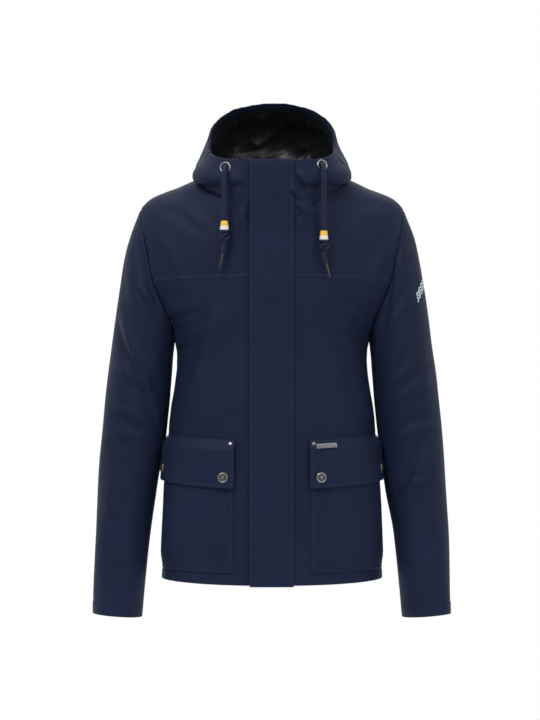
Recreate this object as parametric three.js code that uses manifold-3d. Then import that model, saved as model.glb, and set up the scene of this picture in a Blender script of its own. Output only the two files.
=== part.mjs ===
// A hooded foul weather jacket, closed and hanging as if worn, in millimetres.
// +Z is up, the front faces -Y and the wearer's left is +X. The origin is the
// bearing point of the hang loop inside the back neck.
import * as THREE from "three";
import { mergeVertices } from "three/addons/utils/BufferGeometryUtils.js";
import Module from "manifold-3d";

const wasm = await Module();
wasm.setup();

// Driving sizes.
const gap = 0.8; // between pieces that are sewn together
const fabric = 2.2; // shell cloth with its seam allowances
const liningThickness = 1.0;
const liningAir = 0.3; // clear between the facets of the shell cloth and of the lining
const facetSag = 3.6; // most that the two sets of flat facets stray, at the drawn width

const hemZ = -685.5; // the whole height: the station tables are graded to it
const hemHalfWidth = 184; // the whole width, likewise
const collarAboveRim = 1; // the closure ends this far above the front of the hood's rim
const hemFrontY = -210;
const collarFrontY = -188;
const bodyMidY = -76; // where the body is widest

const closure = {
  panelEdge: 13, // front panels stop this far from the centre line
  liningEdge: 22,
  flapFree: -36.5, // free edge of the storm flap, on the wearer's right
  flapSewn: 35.5, // its sewn edge, where it hinges
  flapLift: 5.6, // from the zip line to the flap's inner face
  flapThickness: 2.4,
  flapArch: 2.4,
  shieldHalfWidth: 27,
  shieldDepth: 10.5,
  shieldThickness: 1.2,
};
const zip = {
  bottom: 6, // above the hem, along the front line
  topBelowCollar: 8,
  coilGap: 1.6,
  coilWidth: 3.2,
  coilThickness: 3,
  coilPitch: 28,
  coilDepth: 4.8, // centre of the coil behind the front line
  tapeWidth: 14.5,
  tapeThickness: 0.8,
  sliderLength: 24,
  sliderWall: 1.3,
  sliderClearance: 0.4,
  sliderHalfWidth: 6.6,
  studRadius: 1.6,
  pullLength: 30,
  pullWidth: 8,
  pullThickness: 1.2,
  pullForward: 0.5, // the pull's back face is this far in front of the panels
};
const hookTape = { width: 16, thickness: 1, fromFree: 2.5, bottom: 40, top: 500 };

const pocket = {
  frontX: 63,
  rearAngle: 78.5, // degrees round from the front
  bottomAboveHem: 23.5,
  mouthAboveHem: 207.5,
  depth: 8.6,
  wall: 1.4,
  stand: 0.7, // clear of the front panel
  flapTopAboveHem: 235,
  flapRise: 13, // the flap climbs towards the side seam
  flapDrop: 78,
  flapSlack: 2, // between the pocket and the flap
  flapThickness: 2,
  flapOverhang: 1.5,
};
const snap = { radius: 8.6, height: 2.6, studRadius: 4.6, studHeight: 0.9, seat: 0.6 };
const rivet = { radius: 3.6, height: 1.6, seat: 0.6 };
const plate = { length: 34, height: 9, thickness: 1.3, seat: 1.4 };

const hoodSplitY = -128; // chin panels lie in front of this plane, the hood behind it
const hoodSplitGap = 2.4;
const crownAngle = 30; // half width of the crown panel, degrees from the back
const hoodLiningDepth = 4;
const chinFacingDepth = 15; // leaves the tunnel that the drawcord runs in

const cordRadius = 4.2;
const cordSides = 8;
const eyelet = {
  hole: cordRadius + 2.1,
  barrel: cordRadius + 2.9,
  flange: cordRadius + 5.6,
  flangeThickness: 1.4,
  fit: 0.4,
  stand: 1.2,
};
const bead = { topRadius: cordRadius + 1.5, bottomRadius: cordRadius + 3.2, height: 18, clearance: 0.5 };
const knot = { radius: cordRadius + 4.8, height: 15.5, clearance: 0.4 };
const aglet = { radius: 2.3, length: 25 };
const touch = 0.35; // between pieces that meet on a cord

const sleeveShift = 1.3; // holds the sleeve clear of the armhole
const badge = { turn: 32, level: 1.51, width: 50.77, height: 50.1, thickness: 0.8, seat: 0.5 };
const loop = { halfWidth: 30, drop: 15, band: 5, thickness: 1.6, stand: 0.597 };

// Station tables.
// Makes rows with named values out of a heading and lists of numbers.
const table = (keys, ...rows) =>
  rows.map((row) => Object.fromEntries(keys.map((key, i) => [key, row[i]])));
const frontLineY = (z) =>
  hemFrontY + ((z - hemZ) * (collarFrontY - hemFrontY)) / (collarTopZ - hemZ);

// Each row is one level of the body from the hem up to the neck seam: the side
// (x, z), the front and the back centre lines (y, z), and how square the front
// and the back halves are (1 is an ellipse, less is squarer).
const bodyStations = table(
  ["sideX", "sideZ", "frontZ", "backY", "backZ", "frontSquare", "backSquare"],
  [184, -680.5, -685.5, 52, -685.5, 0.85, 0.85],
  [179.5, -560, -560, 50, -560, 0.85, 0.85],
  [171, -420, -415, 46, -420, 0.85, 0.85],
  [163, -285, -275, 52, -285, 0.9, 0.9],
  [240, -184, -174, 55, -176, 1, 1],
  [221, -65, -143, 46, -105, 1, 1.05],
  [152, -25, -115, 29, -45, 0.9, 1],
  [90, 0, -92, 13, 0, 0.75, 1],
);
const armpit = 3; // level of the armpit, the yoke seams, the shoulder tip and the neck
const yokeSeam = 4;
const shoulderTip = 5;
const neck = 7;
const armholeReach = 34; // degrees that the armhole cuts in from the side

// The hood rises from the neck seam to its rim.
const hoodStations = table(
  ["sideX", "sideZ", "midY", "frontZ", "backY", "backZ", "square", "backSquare", "frontPower", "backPower"],
  [90, 0, -76, -92, 13, 0, 0.75, 1, 2, 2],
  [112, -3.8, -78, -66, 40, -3, 0.72, 0.9, 1.2, 2],
  [127.5, -8.5, -80, -40, 62, 12, 0.65, 0.85, 0.8, 2],
  [128.5, 9, -80, -20, 70, 46, 0.58, 0.85, 0.5, 1.6],
  [115, 38, -78, -3, 52, 92, 0.56, 0.85, 0.4, 1.3],
  [106, 64, -72, 13, -4, 121, 0.58, 0.8, 0.35, 1.15],
);
const rim = 5;

// The sleeve runs between an outer and an inner rail, from the armhole to the cuff.
const sleeveStations = table(
  ["outX", "outZ", "inX", "inZ", "halfDepth", "midY"],
  [221, -66, 163, -285, 66, -76],
  [244, -130, 168.5, -335, 73, -77],
  [262, -245, 173.5, -395, 71, -78],
  [276, -350, 181, -460, 65, -80],
  [288, -470, 192.5, -525, 59, -83],
  [295, -605, 206, -630, 52, -88],
  [299, -739, 217, -745, 45, -94],
);
const cuff = 6;

// The tables are drawn for one size and graded to the whole height and width.
const tall = hemZ / bodyStations[0].frontZ;
const wide = hemHalfWidth / bodyStations[0].sideX;
for (const row of [...bodyStations, ...hoodStations, ...sleeveStations])
  for (const key of Object.keys(row)) {
    if (key.endsWith("Z")) row[key] *= tall;
    if (key.endsWith("X")) row[key] *= wide;
  }
const collarTopZ = hoodStations[rim].frontZ + collarAboveRim;

// Each cord's route, from inside the hood out through its eyelet and down.
const cords = {
  right: {
    eyelet: { x: 77, level: 4.09 },
    hang: [-78.2, -198.6], // x and y of the straight stretch that the bead slides on
    beadTopZ: -88,
    points: [
      [-74.2, -166.4, -1.6], [-75.7, -172.4, 0], [-77, -178.4, 1.4], [-77.4, -182.6, 1.8],
      [-77.7, -186.8, 1], [-78, -190.7, -0.7], [-78.1, -194, -3.4], [-78.2, -196.5, -6.9],
      [-78.2, -198, -10.8], [-78.2, -198.6, -15], [-78.2, -198.6, -28], [-78.2, -198.6, -50],
      [-78.2, -198.6, -74], [-78.2, -198.6, -98], [-78.2, -198.6, -124], [-78.8, -198.4, -132],
      [-80, -197.8, -139.5],
    ],
    aim: [-0.22, 0.05, -0.97],
  },
  left: {
    eyelet: { x: 82.5, level: 4.26 },
    hang: [84.9, -197.2],
    beadTopZ: -104,
    points: [
      [77.6, -165.6, 1.6], [79.8, -170.6, 3.2], [82.1, -175.8, 4.9], [83.3, -180, 5.7],
      [84.1, -184.2, 5.1], [84.6, -188.4, 3.2], [84.8, -192, 0.2], [84.9, -194.8, -3.8],
      [84.9, -196.6, -8.4], [84.9, -197.2, -13.2], [84.9, -197.2, -24], [84.9, -197.2, -48],
      [84.9, -197.2, -76], [84.9, -197.2, -108], [84.9, -197.2, -140], [85.9, -197, -148],
      [88.2, -196.2, -156],
    ],
    aim: [0.26, 0.04, -0.96],
  },
};

// Small helpers.
const rad = THREE.MathUtils.degToRad;
const lerp = THREE.MathUtils.lerp;
const smooth = (x) => THREE.MathUtils.smoothstep(x, 0, 1);
const steps = (from, to, count) =>
  Array.from({ length: count + 1 }, (_, i) => lerp(from, to, i / count));

// One column of a station table as a smooth curve through its rows.
function column(stations, key) {
  const values = stations.map((row) => row[key]);
  const last = values.length - 1;
  return (level) => {
    const i = Math.min(Math.max(Math.floor(level), 0), last - 1);
    const f = level - i;
    const [a, b, c, d] = [i - 1, i, i + 1, i + 2].map((k) => values[Math.min(Math.max(k, 0), last)]);
    return b + 0.5 * f * (c - a + f * (2 * a - 5 * b + 4 * c - d + f * (3 * (b - c) + d - a)));
  };
}
const columns = (stations) =>
  Object.fromEntries(Object.keys(stations[0]).map((key) => [key, column(stations, key)]));

const body = columns(bodyStations);
const hoodShape = columns(hoodStations);
const arm = columns(sleeveStations);

// A power that keeps its sign.
const signedPower = (x, p) => Math.sign(x) * Math.abs(x) ** p;

// A surface given by a point function, pushed out along its own normal.
function offsetSurface(point) {
  const d = 1e-3;
  return (u, v, offset) => {
    const p = point(u, v);
    const du = point(u + d, v).sub(point(u - d, v));
    const dv = point(u, v + d).sub(point(u, v - d));
    return p.addScaledVector(du.cross(dv).normalize(), offset);
  };
}

// Surfaces.
// angle: degrees round from the front centre, positive towards +X.
const bodySurface = offsetSurface((angle, level) => {
  const s = Math.sin(rad(angle));
  const c = Math.cos(rad(angle));
  const front = c > 0;
  const square = front ? body.frontSquare(level) : body.backSquare(level);
  const reach = front ? bodyMidY - frontLineY(body.frontZ(level)) : body.backY(level) - bodyMidY;
  const centreZ = front ? body.frontZ(level) : body.backZ(level);
  return new THREE.Vector3(
    body.sideX(level) * signedPower(s, square),
    bodyMidY - reach * signedPower(c, square),
    lerp(body.sideZ(level), centreZ, c * c),
  );
});

const hoodSurface = offsetSurface((angle, level) => {
  const s = Math.sin(rad(angle));
  const c = Math.cos(rad(angle));
  const front = c > 0;
  const square = front ? hoodShape.square(level) : hoodShape.backSquare(level);
  const mid = hoodShape.midY(level);
  const centreZ = front ? hoodShape.frontZ(level) : hoodShape.backZ(level);
  const reach = front ? mid - frontLineY(centreZ) : hoodShape.backY(level) - mid;
  const power = front ? hoodShape.frontPower(level) : hoodShape.backPower(level);
  return new THREE.Vector3(
    hoodShape.sideX(level) * signedPower(s, square),
    mid - reach * signedPower(c, square),
    lerp(hoodShape.sideZ(level), centreZ, Math.abs(c) ** power),
  );
});

// Angle at which the body or the chin reaches a distance x from the centre line.
const bodyAngleAtX = (x, level) =>
  THREE.MathUtils.radToDeg(Math.asin((x / body.sideX(level)) ** (1 / body.frontSquare(level))));
const chinAngleAtX = (x, level) =>
  THREE.MathUtils.radToDeg(Math.asin((x / hoodShape.sideX(level)) ** (1 / hoodShape.square(level))));
// Angle at which the hood crosses a plane of constant y.
function hoodAngleAtY(y, level) {
  const mid = hoodShape.midY(level);
  const reach = mid - frontLineY(hoodShape.frontZ(level));
  return THREE.MathUtils.radToDeg(Math.acos(((mid - y) / reach) ** (1 / hoodShape.square(level))));
}

// How far round the body a panel reaches: to the side seam, or to the armhole.
function panelReach(level) {
  const share = (level - armpit) / (shoulderTip - armpit);
  const cut = share > 0 && share < 1 ? Math.sqrt(Math.sin(Math.PI * share)) : 0;
  return 90 - armholeReach * cut;
}
const sideGap = (level) => THREE.MathUtils.radToDeg(gap / 2 / body.sideX(level));
const frontReach = (level) => panelReach(level) - sideGap(level);
const backReach = (level) => 180 - panelReach(level) + sideGap(level);

// The armhole as a loop: 0 is the shoulder tip, 90 the front, 180 the armpit.
function armholePoint(turn) {
  const share = (1 + Math.cos(rad(turn))) / 2;
  const level = lerp(armpit, shoulderTip, share);
  const reach = panelReach(level);
  return bodySurface(turn <= 180 ? reach : 180 - reach, level, 0);
}

const armholeOut = new THREE.Vector3(219, 0, -58).normalize();
function railPoint(turn, level) {
  const c = Math.cos(rad(turn));
  return new THREE.Vector3(
    (arm.outX(level) * (1 + c) + arm.inX(level) * (1 - c)) / 2,
    arm.midY(level) - arm.halfDepth(level) * Math.sin(rad(turn)),
    (arm.outZ(level) * (1 + c) + arm.inZ(level) * (1 - c)) / 2,
  );
}
const sleeveSurface = offsetSurface((turn, level) => {
  const wrapped = THREE.MathUtils.euclideanModulo(turn, 360);
  const seam = armholePoint(wrapped).sub(railPoint(wrapped, 0));
  return railPoint(wrapped, level)
    .addScaledVector(seam, 1 - smooth(level / 1.5))
    .addScaledVector(armholeOut, sleeveShift);
});

// The level at which the front panel reaches a height, near a pocket.
function levelAtZ(z) {
  let [low, high] = [0, armpit];
  for (let i = 0; i < 40; i++) {
    const middle = (low + high) / 2;
    if (body.sideZ(middle) < z) low = middle;
    else high = middle;
  }
  return low;
}

// Solids.
// Reverses a closed geometry that faces inwards.
function faceOut(geometry) {
  const p = geometry.getAttribute("position");
  const index = geometry.index.array;
  const [a, b, c] = [new THREE.Vector3(), new THREE.Vector3(), new THREE.Vector3()];
  let volume = 0;
  for (let i = 0; i < index.length; i += 3) {
    a.fromBufferAttribute(p, index[i]);
    b.fromBufferAttribute(p, index[i + 1]);
    c.fromBufferAttribute(p, index[i + 2]);
    volume += a.dot(b.cross(c));
  }
  if (volume < 0)
    for (let i = 0; i < index.length; i += 3) [index[i + 1], index[i + 2]] = [index[i + 2], index[i + 1]];
  return geometry;
}

// A sheet with thickness: rows of angles at each level, between two offsets.
// at(column, row, offset) gives a point; a closed sheet joins its last column to its first.
function sheetSolid(at, columnCount, rowCount, inner, outer, closed = false) {
  const points = [];
  const rowLength = closed ? columnCount : columnCount + 1;
  const id = (side, i, j) => (side * (rowCount + 1) + j) * rowLength + (i % rowLength);
  for (const offset of [outer, inner])
    for (let j = 0; j <= rowCount; j++)
      for (let i = 0; i < rowLength; i++) points.push(...at(i, j, offset).toArray());
  const index = [];
  const quad = (a, b, c, d) => index.push(a, b, c, a, c, d);
  for (let j = 0; j < rowCount; j++)
    for (let i = 0; i < columnCount; i++) {
      quad(id(0, i, j), id(0, i + 1, j), id(0, i + 1, j + 1), id(0, i, j + 1));
      quad(id(1, i, j), id(1, i, j + 1), id(1, i + 1, j + 1), id(1, i + 1, j));
    }
  for (let i = 0; i < columnCount; i++) {
    quad(id(0, i + 1, 0), id(0, i, 0), id(1, i, 0), id(1, i + 1, 0));
    quad(id(0, i, rowCount), id(0, i + 1, rowCount), id(1, i + 1, rowCount), id(1, i, rowCount));
  }
  if (!closed)
    for (let j = 0; j < rowCount; j++) {
      quad(id(0, 0, j), id(0, 0, j + 1), id(1, 0, j + 1), id(1, 0, j));
      const last = columnCount;
      quad(id(0, last, j + 1), id(0, last, j), id(1, last, j), id(1, last, j + 1));
    }
  const geometry = new THREE.BufferGeometry();
  geometry.setAttribute("position", new THREE.Float32BufferAttribute(points, 3));
  geometry.setIndex(index);
  return faceOut(geometry);
}

// A sheet over a surface: from(level) to to(level) round it, at each listed level.
function panel(surface, levels, from, to, columnCount, inner, outer) {
  const at = (i, j, offset) =>
    surface(lerp(from(levels[j]), to(levels[j]), i / columnCount), levels[j], offset);
  return sheetSolid(at, columnCount, levels.length - 1, inner, outer);
}

function toManifold(geometry) {
  const bare = geometry.clone();
  bare.deleteAttribute("normal");
  bare.deleteAttribute("uv");
  const merged = mergeVertices(bare, 1e-3);
  return new wasm.Manifold(
    new wasm.Mesh({
      numProp: 3,
      vertProperties: merged.attributes.position.array,
      triVerts: new Uint32Array(merged.index.array),
    }),
  );
}
function fromManifold(solid) {
  const mesh = solid.getMesh();
  const geometry = new THREE.BufferGeometry();
  geometry.setAttribute("position", new THREE.BufferAttribute(new Float32Array(mesh.vertProperties), 3));
  geometry.setIndex(new THREE.BufferAttribute(new Uint32Array(mesh.triVerts), 1));
  return geometry;
}
const cut = (geometry, ...tools) =>
  fromManifold(tools.reduce((solid, tool) => solid.subtract(toManifold(tool)), toManifold(geometry)));
const join = (geometry, ...more) =>
  fromManifold(more.reduce((solid, tool) => solid.add(toManifold(tool)), toManifold(geometry)));

// A box between two corners.
function block(x0, x1, y0, y1, z0, z1) {
  const geometry = new THREE.BoxGeometry(x1 - x0, y1 - y0, z1 - z0);
  return geometry.translate((x0 + x1) / 2, (y0 + y1) / 2, (z0 + z1) / 2);
}
// A turned piece about +Z from a closed or axis-to-axis list of [radius, height].
function turned(profile, segments) {
  const geometry = new THREE.LatheGeometry(
    profile.map(([r, h]) => new THREE.Vector2(r, h)),
    segments,
  );
  return geometry.rotateX(Math.PI / 2);
}

// Materials.
const finish = (colour, roughness, metalness = 0) =>
  new THREE.MeshStandardMaterial({ color: colour, roughness, metalness });
const materials = {
  shell: finish(0x1b2440, 0.62),
  lining: finish(0x0b0b0d, 0.35),
  webbing: finish(0x141a2c, 0.9),
  zipTape: finish(0x10162a, 0.8),
  coil: finish(0x1a2036, 0.45),
  metal: finish(0x8d8f92, 0.35, 1),
  cord: finish(0x222b45, 0.85),
  bead: finish(0xf2b632, 0.5),
  thread: finish(0xd9dde2, 0.7),
};

const jacket = new THREE.Group();
function add(name, geometry, material, parent = jacket) {
  const mesh = new THREE.Mesh(geometry, material);
  mesh.name = name;
  parent.add(mesh);
  return mesh;
}
// The same piece on both sides: make(sign) is built for -1, the wearer's right, and +1.
function bothSides(make) {
  make("right", -1);
  make("left", 1);
}
const mirrored = (geometry, sign) => (sign > 0 ? geometry : faceOut(geometry.scale(-1, 1, 1)));

// Body shell.
const armholeCount = 4; // levels between the armpit and the yoke seam, closer near the ends
const armholeLevels = (from, to) => {
  const found = [];
  for (let k = 0; k <= 2 * armholeCount; k++) {
    const level = lerp(armpit, shoulderTip, (1 - Math.cos((Math.PI * k) / (2 * armholeCount))) / 2);
    if (level > from - 1e-9 && level < to + 1e-9) found.push(level);
  }
  return found;
};
const seamGap = 0.008; // levels left open at a yoke seam, about 0.8 mm
const underArm = armholeLevels(armpit, yokeSeam).slice(0, -1);
const overArm = armholeLevels(yokeSeam, shoulderTip).slice(1);
const lowerLevels = [...steps(0, 2.4, 4), ...underArm, yokeSeam - seamGap];
const yokeLevels = [yokeSeam + seamGap, ...overArm, 5.5, 6, 6.5, neck - 0.02];

const centreEdge = (level) => bodyAngleAtX(closure.panelEdge, level);
const liningEdge = (level) => bodyAngleAtX(closure.liningEdge, level);

bothSides((side, sign) => {
  const lower = panel(bodySurface, lowerLevels, centreEdge, frontReach, 8, -fabric, 0);
  const yoke = panel(bodySurface, yokeLevels, centreEdge, frontReach, 8, -fabric, 0);
  add(`${side}_front_panel`, mirrored(lower, sign), materials.shell);
  add(`${side}_front_yoke`, mirrored(yoke, sign), materials.shell);
});
const backFrom = (level) => backReach(level);
const backTo = (level) => 360 - backReach(level);
add("back_panel", panel(bodySurface, lowerLevels, backFrom, backTo, 14, -fabric, 0), materials.shell);
add("back_yoke", panel(bodySurface, yokeLevels, backFrom, backTo, 14, -fabric, 0), materials.shell);

// Body lining.
const liningOuter = -(fabric + facetSag * wide + liningAir); // the facets of a wider body stray further
const liningInner = liningOuter - liningThickness;
const loopLevel = 6.9; // the lining's top edge, where the hang loop is sewn
const liningLevels = [0.25, 1.1, 2.2, ...armholeLevels(armpit, shoulderTip), 5.6, 6.3, loopLevel];
bothSides((side, sign) => {
  const sheet = panel(bodySurface, liningLevels, liningEdge, frontReach, 6, liningInner, liningOuter);
  add(`${side}_front_lining`, mirrored(sheet, sign), materials.lining);
});
add(
  "back_lining",
  panel(bodySurface, liningLevels, backFrom, backTo, 10, liningInner, liningOuter),
  materials.lining,
);

// Sleeves.
const turns = 4 * armholeCount;
function sleeveTube(levels, inner, outer) {
  const at = (i, j, offset) => sleeveSurface((360 * i) / turns, levels[j], offset);
  return sheetSolid(at, turns, levels.length - 1, inner, outer, true);
}
const sleeveLevels = [0, 0.35, 0.8, 1.4, 2.1, 3, 4, 5, cuff];
bothSides((side, sign) => {
  const tube = sleeveTube(sleeveLevels, -fabric, 0);
  add(`${side}_sleeve`, mirrored(tube, sign), materials.shell);
  const lining = sleeveTube([0.16, 0.6, 1.2, 2, 3, 4.3, 5.7], liningInner, liningOuter);
  add(`${side}_sleeve_lining`, mirrored(lining, sign), materials.lining);
});
// The badge keeps its own width and height, so its reach in turns and levels is worked out.
const badgeSpan = (turnStep, levelStep) =>
  sleeveSurface(badge.turn + turnStep, badge.level + levelStep, 0).distanceTo(
    sleeveSurface(badge.turn - turnStep, badge.level - levelStep, 0),
  ) / 2;
const badgeHalfTurn = badge.width / 2 / badgeSpan(1, 0);
const badgeHalfLevel = badge.height / 2 / (badgeSpan(0, 0.01) / 0.01);
const badgeLevels = steps(badge.level - badgeHalfLevel, badge.level + badgeHalfLevel, 3);
add(
  "sleeve_badge",
  panel(
    sleeveSurface,
    badgeLevels,
    () => badge.turn - badgeHalfTurn,
    () => badge.turn + badgeHalfTurn,
    5,
    badge.seat,
    badge.seat + badge.thickness,
  ),
  materials.thread,
);

// Chin and hood.
const hoodLevels = [0.3, 0.8, 1.4, 1.8, 2.2, 2.6, 3.2, 4.1, rim];
const chinLevels = [0.32, 0.7, 1.3, 1.9, 2.6, 3.2, 3.7, 4.1, 4.5, rim];
const chinFrom = (level) => chinAngleAtX(closure.panelEdge, level);
const chinTo = (level) => hoodAngleAtY(hoodSplitY, level);
const hoodFrom = (level) => hoodAngleAtY(hoodSplitY + hoodSplitGap, level);
const crownFrom = 180 - crownAngle;
const crownGap = 0.4;

// The place, outward normal and turn of a piece that sits on a surface.
function seatOn(surface, angle, level, offset) {
  const origin = surface(angle, level, offset);
  const normal = surface(angle, level, offset + 1).sub(origin).normalize();
  const across = surface(angle + 0.5, level, offset).sub(origin).normalize();
  const up = new THREE.Vector3().crossVectors(normal, across).normalize();
  across.crossVectors(up, normal);
  return new THREE.Matrix4().makeBasis(across, up, normal).setPosition(origin);
}

bothSides((side, sign) => {
  const spot = cords[side].eyelet;
  const seat = seatOn(hoodSurface, chinAngleAtX(spot.x, spot.level), spot.level, 0);
  const hole = new THREE.CylinderGeometry(eyelet.barrel + eyelet.fit, eyelet.barrel + eyelet.fit, 8, 16);
  const tool = hole.rotateX(Math.PI / 2).applyMatrix4(seat);
  const chin = cut(panel(hoodSurface, chinLevels, chinFrom, chinTo, 8, -fabric, 0), tool);
  add(`${side}_chin_panel`, mirrored(chin, sign), materials.shell);

  const facingInner = -chinFacingDepth - liningThickness;
  const facing = panel(
    hoodSurface,
    [0.9, 1.8, 2.6, 3.4, 4.2, 4.9],
    (level) => chinAngleAtX(closure.liningEdge, level),
    (level) => hoodAngleAtY(hoodSplitY - 16, level),
    6,
    facingInner,
    -chinFacingDepth,
  );
  add(`${side}_chin_facing`, mirrored(facing, sign), materials.lining);

  const sheet = panel(hoodSurface, hoodLevels, hoodFrom, () => crownFrom - crownGap, 8, -fabric, 0);
  add(`${side}_hood_side`, mirrored(sheet, sign), materials.shell);

  const half = fabric / 2 + eyelet.stand;
  const t = eyelet.flangeThickness;
  const ring = turned(
    [
      [eyelet.hole, -half - t], [eyelet.flange - 0.8, -half - t], [eyelet.flange - 0.8, -half],
      [eyelet.barrel, -half], [eyelet.barrel, half], [eyelet.flange, half],
      [eyelet.flange - 0.5, half + t * 0.7], [eyelet.flange - 2, half + t],
      [eyelet.hole, half + t * 0.4], [eyelet.hole, -half - t],
    ],
    16,
  ).applyMatrix4(seatOn(hoodSurface, chinAngleAtX(spot.x, spot.level), spot.level, -fabric / 2));
  add(`${side}_eyelet`, mirrored(ring, sign), materials.metal);
});
add(
  "hood_crown_panel",
  panel(hoodSurface, hoodLevels, () => crownFrom + crownGap, () => 360 - crownFrom - crownGap, 6, -fabric, 0),
  materials.shell,
);

// The hood lining follows the shell's own columns, so that the two never cross.
const sideColumns = 8;
const crownColumns = 6;
function liningAngle(i, level) {
  const side = (k) => lerp(hoodFrom(level), crownFrom - crownGap, k / sideColumns);
  if (i <= sideColumns) return side(i);
  if (i >= sideColumns + crownColumns) return 360 - side(2 * sideColumns + crownColumns - i);
  return lerp(crownFrom, 360 - crownFrom, (i - sideColumns) / crownColumns);
}
const hoodLiningLevels = [0.35, ...hoodLevels.slice(1, -1), 4.85];
add(
  "hood_lining",
  sheetSolid(
    (i, j, offset) => hoodSurface(liningAngle(i, hoodLiningLevels[j]), hoodLiningLevels[j], offset),
    2 * sideColumns + crownColumns,
    hoodLiningLevels.length - 1,
    -hoodLiningDepth - liningThickness,
    -hoodLiningDepth,
  ),
  materials.lining,
);

// Front closure.
// Its own frame: x across, -y outwards and z up the straight front line from the hem.
const frontLine = new THREE.Group();
frontLine.position.set(0, hemFrontY, hemZ);
frontLine.rotation.x = -Math.atan2(collarFrontY - hemFrontY, collarTopZ - hemZ);
jacket.add(frontLine);
const frontLength = Math.hypot(collarFrontY - hemFrontY, collarTopZ - hemZ);
const zipTop = frontLength - zip.topBelowCollar;

function stormFlap() {
  const { flapFree, flapSewn, flapLift, flapThickness, flapArch } = closure;
  const middle = (flapFree + flapSewn) / 2;
  const inner = -flapLift;
  const outer = inner - flapThickness;
  const outline = new THREE.Shape();
  outline.moveTo(flapFree, inner + flapArch);
  outline.quadraticCurveTo(middle, inner - flapArch, flapSewn, inner + flapArch);
  outline.lineTo(flapSewn, outer + flapArch);
  outline.quadraticCurveTo(middle, outer - flapArch, flapFree, outer + flapArch);
  outline.closePath();
  return new THREE.ExtrudeGeometry(outline, { depth: frontLength + 2, bevelEnabled: false, curveSegments: 6 });
}
add("storm_flap", stormFlap(), materials.shell, frontLine).position.z = -2;

const shieldTop = zipTop - 4;
add(
  "fly_shield",
  block(
    -closure.shieldHalfWidth,
    closure.shieldHalfWidth,
    closure.shieldDepth,
    closure.shieldDepth + closure.shieldThickness,
    2,
    shieldTop,
  ),
  materials.lining,
  frontLine,
);

// Hook tape under the flap's free edge, loop tape on the right front panel behind it.
const tapeFrom = closure.flapFree + hookTape.fromFree;
const hookFront = -closure.flapLift + closure.flapArch + touch;
const loopFront = hookFront + hookTape.thickness + touch;
const tapeStrip = (front) =>
  block(tapeFrom, tapeFrom + hookTape.width, front, front + hookTape.thickness, hookTape.bottom, hookTape.top);
add("flap_hook_tape", tapeStrip(hookFront), materials.webbing, frontLine);
add("flap_loop_tape", tapeStrip(loopFront), materials.webbing, frontLine);

// Each coil is one bar whose inner edge is toothed.
function zipCoil(sign) {
  const inner = zip.coilGap / 2;
  const outer = inner + zip.coilWidth;
  const outline = new THREE.Shape();
  outline.moveTo(outer, zip.bottom);
  outline.lineTo(outer, zipTop);
  const count = Math.floor((zipTop - zip.bottom) / zip.coilPitch);
  const pitch = (zipTop - zip.bottom) / count;
  for (let k = count; k > 0; k--) {
    const top = zip.bottom + k * pitch;
    outline.lineTo(inner, top);
    outline.lineTo(inner, top - pitch * 0.6);
    outline.lineTo(inner + 0.8, top - pitch * 0.8);
  }
  outline.lineTo(inner, zip.bottom);
  outline.closePath();
  const geometry = new THREE.ExtrudeGeometry(outline, { depth: zip.coilThickness, bevelEnabled: false });
  geometry.rotateX(Math.PI / 2).translate(0, zip.coilDepth + zip.coilThickness / 2, 0);
  return faceOut(mergedBare(mirroredX(geometry, sign)));
}
function mergedBare(geometry) {
  geometry.deleteAttribute("normal");
  geometry.deleteAttribute("uv");
  return mergeVertices(geometry, 1e-3);
}
const mirroredX = (geometry, sign) => geometry.scale(sign, 1, 1);

bothSides((side, sign) => {
  add(`${side}_zip_coil`, zipCoil(sign), materials.coil, frontLine);
  const from = zip.coilGap / 2 + zip.coilWidth + touch;
  const edges = [sign * from, sign * (from + zip.tapeWidth)].sort((a, b) => a - b);
  const half = zip.tapeThickness / 2;
  const tape = block(edges[0], edges[1], zip.coilDepth - half, zip.coilDepth + half, zip.bottom, zipTop);
  add(`${side}_zip_tape`, tape, materials.zipTape, frontLine);
});

// The slider's two plates hold a thin divider between them; a stud carries the pull.
const channel = zip.coilThickness / 2 + zip.sliderClearance;
const sliderFront = zip.coilDepth - channel - zip.sliderWall;
const sliderBack = zip.coilDepth + channel + zip.sliderWall;
const sliderTop = zipTop - 2;
const sliderBottom = sliderTop - zip.sliderLength;
const pullBack = -zip.pullForward;
const pullFront = pullBack - zip.pullThickness;
const studZ = sliderTop - 7;
function zipSlider() {
  const w = zip.sliderHalfWidth;
  const flange = zip.coilGap / 2 + zip.coilWidth + zip.sliderClearance;
  const slot = zip.tapeThickness / 2 + zip.sliderClearance;
  const front = block(-w, w, sliderFront, sliderFront + zip.sliderWall, sliderBottom, sliderTop);
  const back = block(-w, w, sliderBack - zip.sliderWall, sliderBack, sliderBottom, sliderTop);
  const lips = [];
  for (const sign of [-1, 1]) {
    const [x0, x1] = [sign * flange, sign * w].sort((a, b) => a - b);
    lips.push(block(x0, x1, sliderFront, zip.coilDepth - slot, sliderBottom, sliderTop));
    lips.push(block(x0, x1, zip.coilDepth + slot, sliderBack, sliderBottom, sliderTop));
  }
  const divider = block(-0.4, 0.4, sliderFront, sliderBack, sliderTop - 7, sliderTop);
  const headBack = pullFront - 0.4;
  const stud = new THREE.CylinderGeometry(zip.studRadius, zip.studRadius, sliderFront + 0.6 - headBack, 12);
  stud.translate(0, (sliderFront + 0.6 + headBack) / 2, studZ);
  const head = new THREE.CylinderGeometry(zip.studRadius + 1.2, zip.studRadius + 1.2, 0.8, 12);
  head.translate(0, headBack - 0.3, studZ);
  return join(front, back, ...lips, divider, stud, head);
}
add("zip_slider", zipSlider(), materials.metal, frontLine);

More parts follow.
